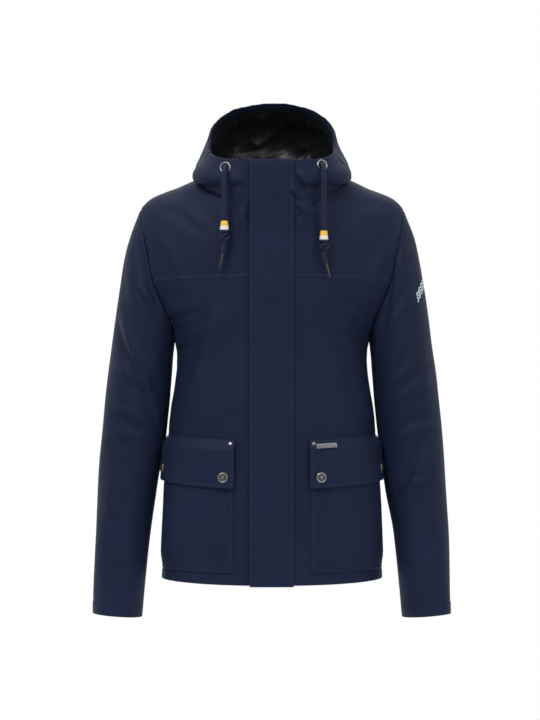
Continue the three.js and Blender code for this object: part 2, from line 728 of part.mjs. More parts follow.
function zipPull() {
  const outline = new THREE.Shape();
  const r = zip.pullWidth / 2;
  outline.absarc(0, 0, r, 0, Math.PI, false);
  outline.lineTo(-r * 0.7, -zip.pullLength);
  outline.lineTo(r * 0.7, -zip.pullLength);
  outline.closePath();
  const hole = new THREE.Path();
  hole.absarc(0, 0, zip.studRadius + 0.35, 0, 2 * Math.PI, true);
  outline.holes.push(hole);
  const geometry = new THREE.ExtrudeGeometry(outline, {
    depth: zip.pullThickness,
    bevelEnabled: false,
    curveSegments: 8,
  });
  return geometry.rotateX(Math.PI / 2).translate(0, pullBack, studZ);
}
add("zip_pull", zipPull(), materials.metal, frontLine);

// Pockets.
const pocketFront = (x) => (level) => bodyAngleAtX(x, level);
const pocketBottom = levelAtZ(hemZ + pocket.bottomAboveHem);
const pocketMouth = levelAtZ(hemZ + pocket.mouthAboveHem);
const flapTopZ = (share) => hemZ + pocket.flapTopAboveHem + pocket.flapRise * share;
const flapTop = (share) => levelAtZ(flapTopZ(share));
const flapBottom = (share) => levelAtZ(flapTopZ(share) - pocket.flapDrop);
const pocketOut = pocket.stand + pocket.depth;
const flapIn = pocketOut + pocket.flapSlack;
const flapRoot = 1.2; // where the flap is sewn to the panel

function pocketBag() {
  const high = pocketMouth + 0.2;
  const levels = steps(pocketBottom, pocketMouth, 4);
  const from = pocketFront(pocket.frontX);
  const floor = levelAtZ(hemZ + pocket.bottomAboveHem + pocket.wall);
  const wallAngle = THREE.MathUtils.radToDeg(pocket.wall / body.sideX(1));
  const outside = panel(bodySurface, levels, from, () => pocket.rearAngle, 8, pocket.stand, pocketOut);
  const inside = panel(
    bodySurface,
    [...steps(floor, pocketMouth, 4), high],
    pocketFront(pocket.frontX + pocket.wall),
    () => pocket.rearAngle - wallAngle,
    8,
    -1,
    pocketOut - pocket.wall,
  );
  return cut(outside, inside);
}

// share: 0 at the front edge to 1 at the rear; drop: 0 at the seam to 1 at the free edge.
function flapPoint(share, drop, offset) {
  const level = lerp(flapTop(share), flapBottom(share), drop);
  const from = bodyAngleAtX(pocket.frontX - pocket.flapOverhang, level);
  const lift = lerp(flapRoot, flapIn, smooth(drop / 0.24));
  return bodySurface(lerp(from, pocket.rearAngle + 0.5, share), level, lift + offset);
}
const flapColumns = 8;
const flapDrops = [0, 0.08, 0.16, 0.26, 0.6, 1];
function pocketFlap() {
  const at = (i, j, offset) => flapPoint(i / flapColumns, flapDrops[j], offset);
  return sheetSolid(at, flapColumns, flapDrops.length - 1, 0, pocket.flapThickness);
}
const onFlap = (share, drop, offset) => {
  const origin = flapPoint(share, drop, pocket.flapThickness);
  const across = flapPoint(share + 0.01, drop, pocket.flapThickness).sub(origin).normalize();
  const down = flapPoint(share, drop + 0.01, pocket.flapThickness).sub(origin).normalize();
  const normal = new THREE.Vector3().crossVectors(down, across).normalize();
  const up = new THREE.Vector3().crossVectors(normal, across);
  return new THREE.Matrix4().makeBasis(across, up, normal).setPosition(origin.addScaledVector(normal, offset));
};

const snapCap = () =>
  turned(
    [
      [0, 0], [snap.radius - 0.6, 0], [snap.radius, 1.2],
      [snap.radius - 1.4, snap.height], [0, snap.height],
    ],
    16,
  );
const snapStud = () =>
  turned(
    [[0, 0], [snap.studRadius, 0], [snap.studRadius, 0.4], [2.6, snap.studHeight], [0, snap.studHeight]],
    12,
  );
const rivetCap = () =>
  turned(
    [
      [0, 0], [rivet.radius, 0], [rivet.radius, 0.7],
      [rivet.radius * 0.5, rivet.height], [0, rivet.height],
    ],
    12,
  );

// A fitting's place on the flap: in from its front or its rear edge, and down from its seam.
const flapWidth = steps(0, 1, flapColumns)
  .map((share) => flapPoint(share, 0.5, pocket.flapThickness))
  .reduce((sum, point, i, all) => sum + (i ? point.distanceTo(all[i - 1]) : 0), 0);
const fromFront = (inset, down) => [inset / flapWidth, down / pocket.flapDrop];
const fromRear = (inset, down) => [1 - inset / flapWidth, down / pocket.flapDrop];
const snapSpots = { front: fromFront(14.86, 61), rear: fromRear(14.36, 57) };
const rivetSpots = { front: fromFront(5.4, 6.6), rear: fromRear(6.42, 6.6) };
const plateSpot = fromFront(23.98, 12.1);

bothSides((side, sign) => {
  add(`${side}_pocket`, mirrored(pocketBag(), sign), materials.shell);
  add(`${side}_pocket_flap`, mirrored(pocketFlap(), sign), materials.shell);
  for (const [place, [share, drop]] of Object.entries(snapSpots)) {
    const cap = snapCap().applyMatrix4(onFlap(share, drop, snap.seat));
    add(`${side}_snap_cap_${place}`, mirrored(cap, sign), materials.metal);
    const level = lerp(flapTop(share), flapBottom(share), drop);
    const from = bodyAngleAtX(pocket.frontX, level);
    const seat = seatOn(bodySurface, lerp(from, pocket.rearAngle, share), level, pocketOut + touch);
    add(`${side}_snap_stud_${place}`, mirrored(snapStud().applyMatrix4(seat), sign), materials.metal);
  }
  for (const [place, [share, drop]] of Object.entries(rivetSpots)) {
    const cap = rivetCap().applyMatrix4(onFlap(share, drop, rivet.seat));
    add(`${side}_rivet_${place}`, mirrored(cap, sign), materials.metal);
  }
});
const plateBlank = block(
  -plate.length / 2,
  plate.length / 2,
  -plate.height / 2,
  plate.height / 2,
  0,
  plate.thickness,
);
add("label_plate", plateBlank.applyMatrix4(onFlap(...plateSpot, plate.seat)), materials.metal);

// Drawcord ends.
function cordTube(points) {
  const path = new THREE.CatmullRomCurve3(points.map((p) => new THREE.Vector3(...p)));
  const section = new THREE.Shape();
  for (let k = 0; k < cordSides; k++) {
    const a = (2 * Math.PI * k) / cordSides;
    const [x, y] = [cordRadius * Math.cos(a), cordRadius * Math.sin(a)];
    if (k) section.lineTo(x, y);
    else section.moveTo(x, y);
  }
  section.closePath();
  return new THREE.ExtrudeGeometry(section, { steps: 18, bevelEnabled: false, extrudePath: path });
}
// Lines a turned piece up with a direction, from its place on the cord.
function along(geometry, start, direction) {
  const turn = new THREE.Quaternion().setFromUnitVectors(new THREE.Vector3(0, 0, -1), direction);
  return geometry.applyQuaternion(turn).translate(...start.toArray());
}

for (const [side, cord] of Object.entries(cords)) {
  const { points, beadTopZ } = cord;
  const [hangX, hangY] = cord.hang;
  add(`${side}_cord`, cordTube(points), materials.cord);
  const bore = cordRadius + bead.clearance;
  const beadRing = turned(
    [
      [bore, -bead.height], [bead.bottomRadius, -bead.height], [bead.bottomRadius, -bead.height * 0.7],
      [bead.topRadius, 0], [bore, 0], [bore, -bead.height],
    ],
    14,
  );
  add(`${side}_bead`, beadRing.translate(hangX, hangY, beadTopZ), materials.bead);

  const knotBore = cordRadius + knot.clearance;
  const swell = (a) => knotBore + (knot.radius - knotBore) * Math.sin(a) ** 0.7;
  const bulge = steps(Math.PI, 0, 5).map((a) => [swell(a), (-knot.height * (1 - Math.cos(a))) / 2]);
  const knotZ = beadTopZ - bead.height - touch;
  const knotRing = turned([...bulge, bulge[0]], 14);
  add(`${side}_knot`, knotRing.translate(hangX, hangY, knotZ), materials.cord);

  const end = new THREE.Vector3(...points.at(-1));
  const aim = new THREE.Vector3(...cord.aim).normalize();
  const rod = turned(
    [
      [0, -aglet.length], [aglet.radius - 0.5, -aglet.length], [aglet.radius, -aglet.length + 0.6],
      [aglet.radius, 0], [0, 0],
    ],
    12,
  );
  add(`${side}_aglet`, along(rod, end.addScaledVector(aim, touch * 3), aim), materials.metal);
}

// Hang loop.
// An arched tape; its under side at the middle is the origin. Its ends stand on the lining.
const loopEnd = (level) => {
  const reach = (loop.halfWidth + loop.band) / (body.sideX(level) + liningInner);
  return 180 - THREE.MathUtils.radToDeg(Math.asin(reach));
};
const loopY = bodySurface(loopEnd(loopLevel), loopLevel, liningInner).y - loop.stand;
function hangLoop() {
  const outline = new THREE.Shape();
  const { halfWidth, drop, band } = loop;
  outline.moveTo(-halfWidth - band, -drop);
  outline.quadraticCurveTo(-halfWidth - band, band, 0, band);
  outline.quadraticCurveTo(halfWidth + band, band, halfWidth + band, -drop);
  outline.lineTo(halfWidth, -drop);
  outline.quadraticCurveTo(halfWidth, 0, 0, 0);
  outline.quadraticCurveTo(-halfWidth, 0, -halfWidth, -drop);
  outline.closePath();
  const geometry = new THREE.ExtrudeGeometry(outline, {
    depth: loop.thickness,
    bevelEnabled: false,
    curveSegments: 8,
  });
  return geometry.rotateX(Math.PI / 2).translate(0, loop.thickness / 2 + loopY, 0);
}
add("hang_loop", hangLoop(), materials.webbing);

export default jacket;
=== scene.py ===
import math
import bmesh
import bpy
import numpy as np
from mathutils import Matrix, Vector, noise


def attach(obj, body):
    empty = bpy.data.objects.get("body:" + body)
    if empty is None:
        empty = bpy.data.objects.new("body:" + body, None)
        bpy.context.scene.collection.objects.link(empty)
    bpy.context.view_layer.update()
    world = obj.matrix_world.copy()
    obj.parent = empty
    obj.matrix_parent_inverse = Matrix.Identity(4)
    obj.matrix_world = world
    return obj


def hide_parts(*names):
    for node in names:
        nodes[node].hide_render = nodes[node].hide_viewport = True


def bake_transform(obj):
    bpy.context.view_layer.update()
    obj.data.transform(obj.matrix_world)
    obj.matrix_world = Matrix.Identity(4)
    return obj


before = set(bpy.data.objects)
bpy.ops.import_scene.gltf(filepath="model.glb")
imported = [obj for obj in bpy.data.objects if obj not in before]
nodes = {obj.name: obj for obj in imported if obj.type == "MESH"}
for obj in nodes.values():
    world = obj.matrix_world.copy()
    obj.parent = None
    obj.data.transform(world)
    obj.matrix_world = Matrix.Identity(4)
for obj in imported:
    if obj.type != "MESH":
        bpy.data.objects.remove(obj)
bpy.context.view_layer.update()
scene = bpy.context.scene
print("frame loaded:", len(nodes), "nodes")

# camera, light, floor
viewSettings = {"x": -0.0034, "y": -5.076, "height": -0.316, "lens": 148.8}
lightSettings = {
    "worldStrength": 1.0,
    "frontGrey": 0.42,
    "key": {"place": (-1.5, -2.6, 2.9), "size": 1.5, "power": 108},
    "fill": {"place": (2.6, -3.4, 1.2), "size": 2.2, "power": 46},
    "rim": {"place": (0.0, 3.0, 2.8), "size": 2.2, "power": 50},
}
floorSettings = {"height": -1.15, "radius": 1.05}

cameraData = bpy.data.cameras.new("camera")
camera = bpy.data.objects.new("camera", cameraData)
scene.collection.objects.link(camera)
camera.location = (viewSettings["x"], viewSettings["y"], viewSettings["height"])
camera.rotation_euler = (math.radians(90), 0, 0)
cameraData.lens = viewSettings["lens"]
cameraData.sensor_width = 36
cameraData.clip_end = 60
scene.camera = camera

world = bpy.data.worlds.new("studio")
world.use_nodes = True
worldTree = world.node_tree
worldShade = worldTree.nodes["Background"]
worldShade.inputs["Strength"].default_value = lightSettings["worldStrength"]
# white behind the jacket, softer grey in front of it and below
worldPlace = worldTree.nodes.new("ShaderNodeTexCoord")
worldSplit = worldTree.nodes.new("ShaderNodeSeparateXYZ")
worldTree.links.new(worldPlace.outputs["Generated"], worldSplit.inputs["Vector"])
worldLean = worldTree.nodes.new("ShaderNodeMath")
worldLean.operation = "MULTIPLY_ADD"
worldLean.inputs[1].default_value = 0.6
worldTree.links.new(worldSplit.outputs["Z"], worldLean.inputs[0])
worldTree.links.new(worldSplit.outputs["Y"], worldLean.inputs[2])
worldRamp = worldTree.nodes.new("ShaderNodeMapRange")
for key, value in (("From Min", -0.5), ("From Max", 0.55), ("To Min", lightSettings["frontGrey"]), ("To Max", 1.0)):
    worldRamp.inputs[key].default_value = value
worldTree.links.new(worldLean.outputs[0], worldRamp.inputs["Value"])
worldTree.links.new(worldRamp.outputs["Result"], worldShade.inputs["Color"])
scene.world = world
scene.view_settings.view_transform = "Standard"  # plain colours, white stays white

for lightName in ("key", "fill", "rim"):
    given = lightSettings[lightName]
    lamp = bpy.data.lights.new(lightName, "AREA")
    lamp.size = given["size"]
    lamp.energy = given["power"]
    lampObject = bpy.data.objects.new(lightName, lamp)
    lampObject.location = given["place"]
    aim = Vector((0, -0.08, -0.3)) - Vector(given["place"])
    lampObject.rotation_euler = aim.to_track_quat("-Z", "Y").to_euler()
    scene.collection.objects.link(lampObject)


def addMesh(name, bm):
    mesh = bpy.data.meshes.new(name)
    bm.to_mesh(mesh)
    bm.free()
    made = bpy.data.objects.new(name, mesh)
    scene.collection.objects.link(made)
    return made


# materials
def startMaterial(name, colour, roughness, metallic=0.0):
    material = bpy.data.materials.new(name)
    material.use_nodes = True
    tree = material.node_tree
    shader = tree.nodes["Principled BSDF"]
    shader.inputs["Base Color"].default_value = (*colour, 1)
    shader.inputs["Roughness"].default_value = roughness
    shader.inputs["Metallic"].default_value = metallic
    return material, tree, shader


def addNode(tree, kind, inputs=None, **settings):
    node = tree.nodes.new(kind)
    for key, value in settings.items():
        setattr(node, key, value)
    for key, value in (inputs or {}).items():
        node.inputs[key].default_value = value
    return node


def chainBump(tree, shader, height, strength, distance, after=None):
    bump = addNode(tree, "ShaderNodeBump", {"Strength": strength, "Distance": distance})
    tree.links.new(height, bump.inputs["Height"])
    if after:
        tree.links.new(after.outputs["Normal"], bump.inputs["Normal"])
    tree.links.new(bump.outputs["Normal"], shader.inputs["Normal"])
    return bump


def weaveHeight(tree, coordinates, pitch, slant=0.0):
    # two sets of threads crossing at right angles, pitch in metres
    turned = addNode(tree, "ShaderNodeMapping", {"Rotation": (0, 0, slant)})
    tree.links.new(coordinates, turned.inputs["Vector"])
    waves = []
    for direction in ("X", "Y"):
        wave = addNode(tree, "ShaderNodeTexWave", {"Scale": 0.314 / pitch}, bands_direction=direction)
        tree.links.new(turned.outputs["Vector"], wave.inputs["Vector"])
        waves.append(wave)
    crossed = addNode(tree, "ShaderNodeMath", operation="MULTIPLY")
    tree.links.new(waves[0].outputs["Fac"], crossed.inputs[0])
    tree.links.new(waves[1].outputs["Fac"], crossed.inputs[1])
    return crossed.outputs[0]


def makeCloth(name, colour, edgeHighlight, roughness, sheen, pitch, weaveDepth, crumple, slant=0.0):
    material, tree, shader = startMaterial(name, colour, roughness)
    shader.inputs["Sheen Weight"].default_value = sheen
    shader.inputs["Sheen Roughness"].default_value = 0.45
    shader.inputs["Sheen Tint"].default_value = (0.42, 0.5, 0.85, 1)
    shader.inputs["Specular IOR Level"].default_value = 0.12
    place = addNode(tree, "ShaderNodeTexCoord")
    cloudy = addNode(tree, "ShaderNodeTexNoise", {"Scale": 9.0, "Detail": 4.0, "Roughness": 0.6})
    tree.links.new(place.outputs["Object"], cloudy.inputs["Vector"])
    specks = addNode(tree, "ShaderNodeTexNoise", {"Scale": 900.0, "Detail": 2.0})
    tree.links.new(place.outputs["UV"], specks.inputs["Vector"])
    shade = addNode(tree, "ShaderNodeValToRGB")
    shade.color_ramp.elements[0].position = 0.32
    shade.color_ramp.elements[1].position = 0.72
    shade.color_ramp.elements[0].color = (*[c * 0.9 for c in colour], 1)
    shade.color_ramp.elements[1].color = (*[c * 1.12 for c in colour], 1)
    tree.links.new(cloudy.outputs["Fac"], shade.inputs["Fac"])
    fleck = addNode(tree, "ShaderNodeMix", data_type="RGBA", blend_type="MULTIPLY")
    fleck.inputs["Factor"].default_value = 0.3
    tree.links.new(shade.outputs["Color"], fleck.inputs["A"])
    tree.links.new(specks.outputs["Color"], fleck.inputs["B"])
    # painted edge highlight: a lighter navy is mixed into the base colour along panel edges and hems, by the
    # per-vertex edge mask broken up by noise
    gain = addNode(tree, "ShaderNodeMix", data_type="RGBA", blend_type="MIX")
    gain.inputs["B"].default_value = (*edgeHighlight, 1)
    tree.links.new(fleck.outputs["Result"], gain.inputs["A"])
    edgeHighlightMask = addNode(tree, "ShaderNodeAttribute", attribute_name="edgeHighlightMask")
    highlightNoise = addNode(tree, "ShaderNodeTexNoise", {"Scale": 70.0, "Detail": 3.0})
    tree.links.new(place.outputs["Object"], highlightNoise.inputs["Vector"])
    patchy = addNode(tree, "ShaderNodeMath", operation="MULTIPLY")
    tree.links.new(edgeHighlightMask.outputs["Fac"], patchy.inputs[0])
    tree.links.new(highlightNoise.outputs["Fac"], patchy.inputs[1])
    tree.links.new(patchy.outputs[0], gain.inputs["Factor"])
    tree.links.new(gain.outputs["Result"], shader.inputs["Base Color"])
    spread = addNode(tree, "ShaderNodeMapRange", {"To Min": roughness - 0.06, "To Max": roughness + 0.08})
    tree.links.new(cloudy.outputs["Fac"], spread.inputs["Value"])
    tree.links.new(spread.outputs["Result"], shader.inputs["Roughness"])
    wrinkle = addNode(tree, "ShaderNodeTexNoise", {"Scale": 26.0, "Detail": 3.0, "Distortion": 0.6})
    tree.links.new(place.outputs["Object"], wrinkle.inputs["Vector"])
    first = chainBump(tree, shader, wrinkle.outputs["Fac"], 0.6, crumple)
    chainBump(tree, shader, weaveHeight(tree, place.outputs["UV"], pitch, slant), 0.55, weaveDepth, first)
    return material


def makeMetal(name, colour, roughness, scratch=220.0):
    material, tree, shader = startMaterial(name, colour, roughness, 1.0)
    place = addNode(tree, "ShaderNodeTexCoord")
    tarnish = addNode(tree, "ShaderNodeTexNoise", {"Scale": 240.0, "Detail": 4.0})
    tree.links.new(place.outputs["Object"], tarnish.inputs["Vector"])
    spread = addNode(tree, "ShaderNodeMapRange", {"To Min": roughness - 0.1, "To Max": roughness + 0.16})
    tree.links.new(tarnish.outputs["Fac"], spread.inputs["Value"])
    tree.links.new(spread.outputs["Result"], shader.inputs["Roughness"])
    shade = addNode(tree, "ShaderNodeValToRGB")
    shade.color_ramp.elements[0].position = 0.35
    shade.color_ramp.elements[0].color = (*[c * 0.72 for c in colour], 1)
    shade.color_ramp.elements[1].color = (*colour, 1)
    tree.links.new(tarnish.outputs["Fac"], shade.inputs["Fac"])
    tree.links.new(shade.outputs["Color"], shader.inputs["Base Color"])
    lines = addNode(tree, "ShaderNodeTexNoise", {"Scale": scratch, "Detail": 2.0})
    squeezed = addNode(tree, "ShaderNodeMapping", {"Scale": (1, 1, 14)})
    tree.links.new(place.outputs["Object"], squeezed.inputs["Vector"])
    tree.links.new(squeezed.outputs["Vector"], lines.inputs["Vector"])
    chainBump(tree, shader, lines.outputs["Fac"], 0.25, 0.00008)
    return material


def makePlastic(name, colour, roughness):
    material, tree, shader = startMaterial(name, colour, roughness)
    place = addNode(tree, "ShaderNodeTexCoord")
    grain = addNode(tree, "ShaderNodeTexNoise", {"Scale": 1400.0, "Detail": 2.0})
    tree.links.new(place.outputs["Object"], grain.inputs["Vector"])
    spread = addNode(tree, "ShaderNodeMapRange", {"To Min": roughness - 0.05, "To Max": roughness + 0.1})
    tree.links.new(grain.outputs["Fac"], spread.inputs["Value"])
    tree.links.new(spread.outputs["Result"], shader.inputs["Roughness"])
    chainBump(tree, shader, grain.outputs["Fac"], 0.3, 0.00004)
    return material


def makeBraid(name, colour, pitch, depth):
    # threads that cross over each other along a cord that hangs along Z
    material, tree, shader = startMaterial(name, colour, 0.82)
    shader.inputs["Sheen Weight"].default_value = 0.03
    shader.inputs["Specular IOR Level"].default_value = 0.15
    place = addNode(tree, "ShaderNodeTexCoord")
    waves = []
    for turn in (0.62, -0.62):
        tilted = addNode(tree, "ShaderNodeMapping", {"Rotation": (turn, turn, 0)})
        tree.links.new(place.outputs["Object"], tilted.inputs["Vector"])
        wave = addNode(tree, "ShaderNodeTexWave", {"Scale": 0.314 / pitch}, bands_direction="Z")
        tree.links.new(tilted.outputs["Vector"], wave.inputs["Vector"])
        waves.append(wave)
    higher = addNode(tree, "ShaderNodeMath", operation="MAXIMUM")
    tree.links.new(waves[0].outputs["Fac"], higher.inputs[0])
    tree.links.new(waves[1].outputs["Fac"], higher.inputs[1])
    # painted shade and highlight: the colour is darker in the grooves between the crossing threads and lighter on
    # their crowns
    shade = addNode(tree, "ShaderNodeValToRGB")
    shade.color_ramp.elements[0].color = (*[c * 0.55 for c in colour], 1)
    shade.color_ramp.elements[1].color = (*[c * 1.25 for c in colour], 1)
    tree.links.new(higher.outputs[0], shade.inputs["Fac"])
    tree.links.new(shade.outputs["Color"], shader.inputs["Base Color"])
    chainBump(tree, shader, higher.outputs[0], 0.8, depth)
    return material


def makeBanded(name, bands, roughness):
    # painted bands by height: bands is a list of (height, colour) from the bottom up
    material, tree, shader = startMaterial(name, bands[0][1], roughness)
    place = addNode(tree, "ShaderNodeTexCoord")
    split = addNode(tree, "ShaderNodeSeparateXYZ")
    tree.links.new(place.outputs["Object"], split.inputs["Vector"])
    low, high = bands[0][0], bands[-1][0]
    share = addNode(tree, "ShaderNodeMapRange", {"From Min": low, "From Max": high + 0.004})
    tree.links.new(split.outputs["Z"], share.inputs["Value"])
    ramp = addNode(tree, "ShaderNodeValToRGB")
    ramp.color_ramp.interpolation = "CONSTANT"
    for index, (height, colour) in enumerate(bands):
        position = (height - low) / (high + 0.004 - low)
        if index < 2:
            stop = ramp.color_ramp.elements[index]
            stop.position = position
        else:
            stop = ramp.color_ramp.elements.new(position)
        stop.color = (*colour, 1)
    tree.links.new(share.outputs["Result"], ramp.inputs["Fac"])
    scuffs = addNode(tree, "ShaderNodeTexNoise", {"Scale": 320.0, "Detail": 3.0})
    tree.links.new(place.outputs["Object"], scuffs.inputs["Vector"])
    mixed = addNode(tree, "ShaderNodeMix", data_type="RGBA", blend_type="MULTIPLY")
    mixed.inputs["Factor"].default_value = 0.22
    tree.links.new(ramp.outputs["Color"], mixed.inputs["A"])
    tree.links.new(scuffs.outputs["Color"], mixed.inputs["B"])
    tree.links.new(mixed.outputs["Result"], shader.inputs["Base Color"])
    chainBump(tree, shader, scuffs.outputs["Fac"], 0.2, 0.0001)
    return material


palette = {
    "navy": (0.0092, 0.0152, 0.0425),
    # lighter navy, used as a painted highlight along panel edges and hems
    "navyEdgeHighlight": (0.0165, 0.0235, 0.055),
    "navyDark": (0.0085, 0.0115, 0.026),
    "black": (0.0095, 0.0100, 0.0120),
    "nickel": (0.30, 0.30, 0.31),
    "gold": (0.86, 0.52, 0.07),
    "cream": (0.80, 0.78, 0.70),
    "thread": (0.62, 0.66, 0.72),
}
shellCloth = makeCloth("shellCloth", palette["navy"], palette["navyEdgeHighlight"], 0.62, 0.04, 0.0007, 0.00005, 0.0007)
flapCloth = makeCloth("flapCloth", palette["navy"], palette["navyEdgeHighlight"], 0.60, 0.04, 0.0007, 0.00005, 0.0004)
satin = makeCloth("satin", palette["black"], palette["black"], 0.40, 0.02, 0.0004, 0.00002, 0.0006, 0.78)
satin.node_tree.nodes["Principled BSDF"].inputs["Specular IOR Level"].default_value = 0.34
bodyLiningCloth = makeCloth("bodyLining", palette["navyDark"], palette["navyDark"], 0.5, 0.15, 0.0009, 0.00006, 0.0008)
webbingCloth = makeCloth("webbing", palette["navyDark"], palette["navy"], 0.85, 0.3, 0.0013, 0.0002, 0.0001)
stitchThread = makeBraid("stitchThread", (0.0100, 0.0145, 0.0360), 0.0006, 0.00005)
badgeThread = makeBraid("badgeThread", palette["thread"], 0.0006, 0.00008)
nickel = makeMetal("nickel", palette["nickel"], 0.30)
darkNickel = makeMetal("darkNickel", (0.10, 0.10, 0.11), 0.42)
cordBraid = makeBraid("cordBraid", (0.0125, 0.0175, 0.0420), 0.0021, 0.0004)
coilPlastic = makePlastic("coilPlastic", (0.016, 0.019, 0.034), 0.4)

# cords, first of the pieces
cordSettings = {
    "diameter": 0.0084,
    "right": {
        "route": [
            (-74.2, -166.4, -1.6), (-75.7, -172.4, 0), (-77, -178.4, 1.4), (-77.4, -182.6, 1.8),
            (-77.7, -186.8, 1), (-78, -190.7, -0.7), (-78.1, -194, -3.4), (-78.2, -196.5, -6.9),
            (-78.2, -198, -10.8), (-78.2, -198.6, -15), (-78.2, -198.6, -28), (-78.2, -198.6, -50),
            (-78.2, -198.6, -74), (-78.2, -198.6, -98), (-78.2, -198.6, -124), (-78.8, -198.4, -132),
            (-80, -197.8, -139.5),
        ],
        "aim": (-0.22, 0.05, -0.97),
        "beadTop": -88,
    },
    "left": {
        "route": [
            (77.6, -165.6, 1.6), (79.8, -170.6, 3.2), (82.1, -175.8, 4.9), (83.3, -180, 5.7),
            (84.1, -184.2, 5.1), (84.6, -188.4, 3.2), (84.8, -192, 0.2), (84.9, -194.8, -3.8),
            (84.9, -196.6, -8.4), (84.9, -197.2, -13.2), (84.9, -197.2, -24), (84.9, -197.2, -48),
            (84.9, -197.2, -76), (84.9, -197.2, -108), (84.9, -197.2, -140), (85.9, -197, -148),
            (88.2, -196.2, -156),
        ],
        "aim": (0.26, 0.04, -0.96),
        "beadTop": -104,
    },
}
beadSettings = {"height": 18, "topRadius": 5.6, "bottomRadius": 7.4, "bore": 4.7}
knotSettings = {"height": 15.5, "radius": 5.1, "lobe": 2.0, "strand": 2.6}
agletSettings = {"radius": 2.3, "length": 25, "gap": 1.05}


def turnedPiece(name, profile, place, segments=48):
    # profile: (radius, height) in mm, from one end to the other, turned about the piece's own Z
    bm = bmesh.new()
    made = [bm.verts.new((r * 0.001, 0, h * 0.001)) for r, h in profile]
    edges = [bm.edges.new(pair) for pair in zip(made, made[1:])]
    bmesh.ops.spin(
        bm, geom=made + edges, cent=(0, 0, 0), axis=(0, 0, 1), angle=2 * math.pi, steps=segments, use_merge=True
    )
    bmesh.ops.remove_doubles(bm, verts=bm.verts, dist=1e-6)
    bmesh.ops.recalc_face_normals(bm, faces=bm.faces)
    bmesh.ops.transform(bm, matrix=place, verts=bm.verts)
    made = addMesh(name, bm)
    made.data.shade_smooth()
    made.data.set_sharp_from_angle(angle=math.radians(38))
    return made


def rounded(corners, radius, steps=4):
    # a profile with its inner corners rounded off
    out = [corners[0]]
    for before, corner, after in zip(corners, corners[1:], corners[2:]):
        c = Vector((*corner, 0))
        a, b = Vector((*before, 0)) - c, Vector((*after, 0)) - c
        reach = min(radius, a.length * 0.45, b.length * 0.45)
        start, end = c + a.normalized() * reach, c + b.normalized() * reach
        for k in range(steps + 1):
            f = k / steps
            point = start * (1 - f) ** 2 + c * 2 * f * (1 - f) + end * f**2
            out.append((point.x, point.y))
    out.append(corners[-1])
    return out


def paint(piece, material):
    piece.data.materials.clear()
    piece.data.materials.append(material)
    return piece


def aimAlong(start, direction):
    turn = Vector((0, 0, -1)).rotation_difference(Vector(direction).normalized())
    return Matrix.Translation(Vector(start) * 0.001) @ turn.to_matrix().to_4x4()


def makeCord(side):
    given = cordSettings[side]
    curve = bpy.data.curves.new(f"{side}CordCurve", "CURVE")
    curve.dimensions = "3D"
    curve.bevel_depth = cordSettings["diameter"] / 2
    curve.bevel_resolution = 6
    curve.resolution_u = 8
    curve.use_fill_caps = True
    spline = curve.splines.new("NURBS")
    spline.points.add(len(given["route"]) - 1)
    for point, place in zip(spline.points, given["route"]):
        point.co = (*[v * 0.001 for v in place], 1)
    spline.order_u = 4
    spline.use_endpoint_u = True
    cord = bpy.data.objects.new(f"{side}DrawCord", curve)
    scene.collection.objects.link(cord)
    paint(cord, cordBraid)
    return cord


def makeKnot(side):
    # a trefoil pulled tight round the cord
    given = cordSettings[side]
    x, y, _ = given["route"][13]
    centre = given["beadTop"] - beadSettings["height"] - 0.35 - knotSettings["height"] / 2
    r, lobe = knotSettings["radius"], knotSettings["lobe"]
    curve = bpy.data.curves.new(f"{side}KnotCurve", "CURVE")
    curve.dimensions = "3D"
    curve.bevel_depth = knotSettings["strand"] * 0.001
    curve.bevel_resolution = 5
    curve.resolution_u = 6
    spline = curve.splines.new("NURBS")
    count = 30
    spline.points.add(count - 1)
    for k, point in enumerate(spline.points):
        a = 4 * math.pi * k / count
        reach = r + lobe * math.cos(1.5 * a)
        height = 4.2 * math.sin(1.5 * a)
        point.co = (
            (x + reach * math.cos(a)) * 0.001, (y + reach * math.sin(a)) * 0.001, (centre + height) * 0.001, 1,
        )
    spline.use_cyclic_u = True
    spline.order_u = 4
    shape = bpy.data.objects.new(f"{side}KnotShape", curve)
    scene.collection.objects.link(shape)
    mesh = bpy.data.meshes.new_from_object(shape.evaluated_get(bpy.context.evaluated_depsgraph_get()))
    bpy.data.objects.remove(shape)
    knot = bpy.data.objects.new(f"{side}CordKnot", mesh)
    scene.collection.objects.link(knot)
    mesh.shade_smooth()
    return paint(knot, cordBraid)


def makeBead(side):
    given = cordSettings[side]
    x, y, _ = given["route"][12]
    top, tall = given["beadTop"], beadSettings["height"]
    corners = [
        (beadSettings["bore"], -tall / 2), (beadSettings["bore"], -tall), (beadSettings["bottomRadius"], -tall),
        (beadSettings["bottomRadius"] - 0.1, -tall * 0.72), (beadSettings["topRadius"], 0),
        (beadSettings["bore"], 0), (beadSettings["bore"], -tall / 2),
    ]
    bead = turnedPiece(f"{side}CordBead", rounded(corners, 0.9), Matrix.Translation((x / 1000, y / 1000, top / 1000)))
    low = (top - tall) / 1000
    bands = [(low, palette["navy"]), (low + 0.0035, palette["cream"]), (low + 0.0098, palette["gold"])]
    return paint(bead, makeBanded(f"{side}BeadPaint", bands, 0.42))


def makeAglet(side):
    given = cordSettings[side]
    aimed = Vector(given["aim"]).normalized()
    start = Vector(given["route"][-1]) + aimed * agletSettings["gap"]
    r, tall = agletSettings["radius"], agletSettings["length"]
    corners = [(0, 0.5), (r, 0.5), (r, -3), (r - 0.35, -3.4), (r - 0.35, -4.2), (r, -4.6), (r, -tall + 1.2), (r - 0.8, -tall), (0, -tall)]
    return paint(turnedPiece(f"{side}Aglet", rounded(corners, 0.5), aimAlong(start, aimed), 32), darkNickel)


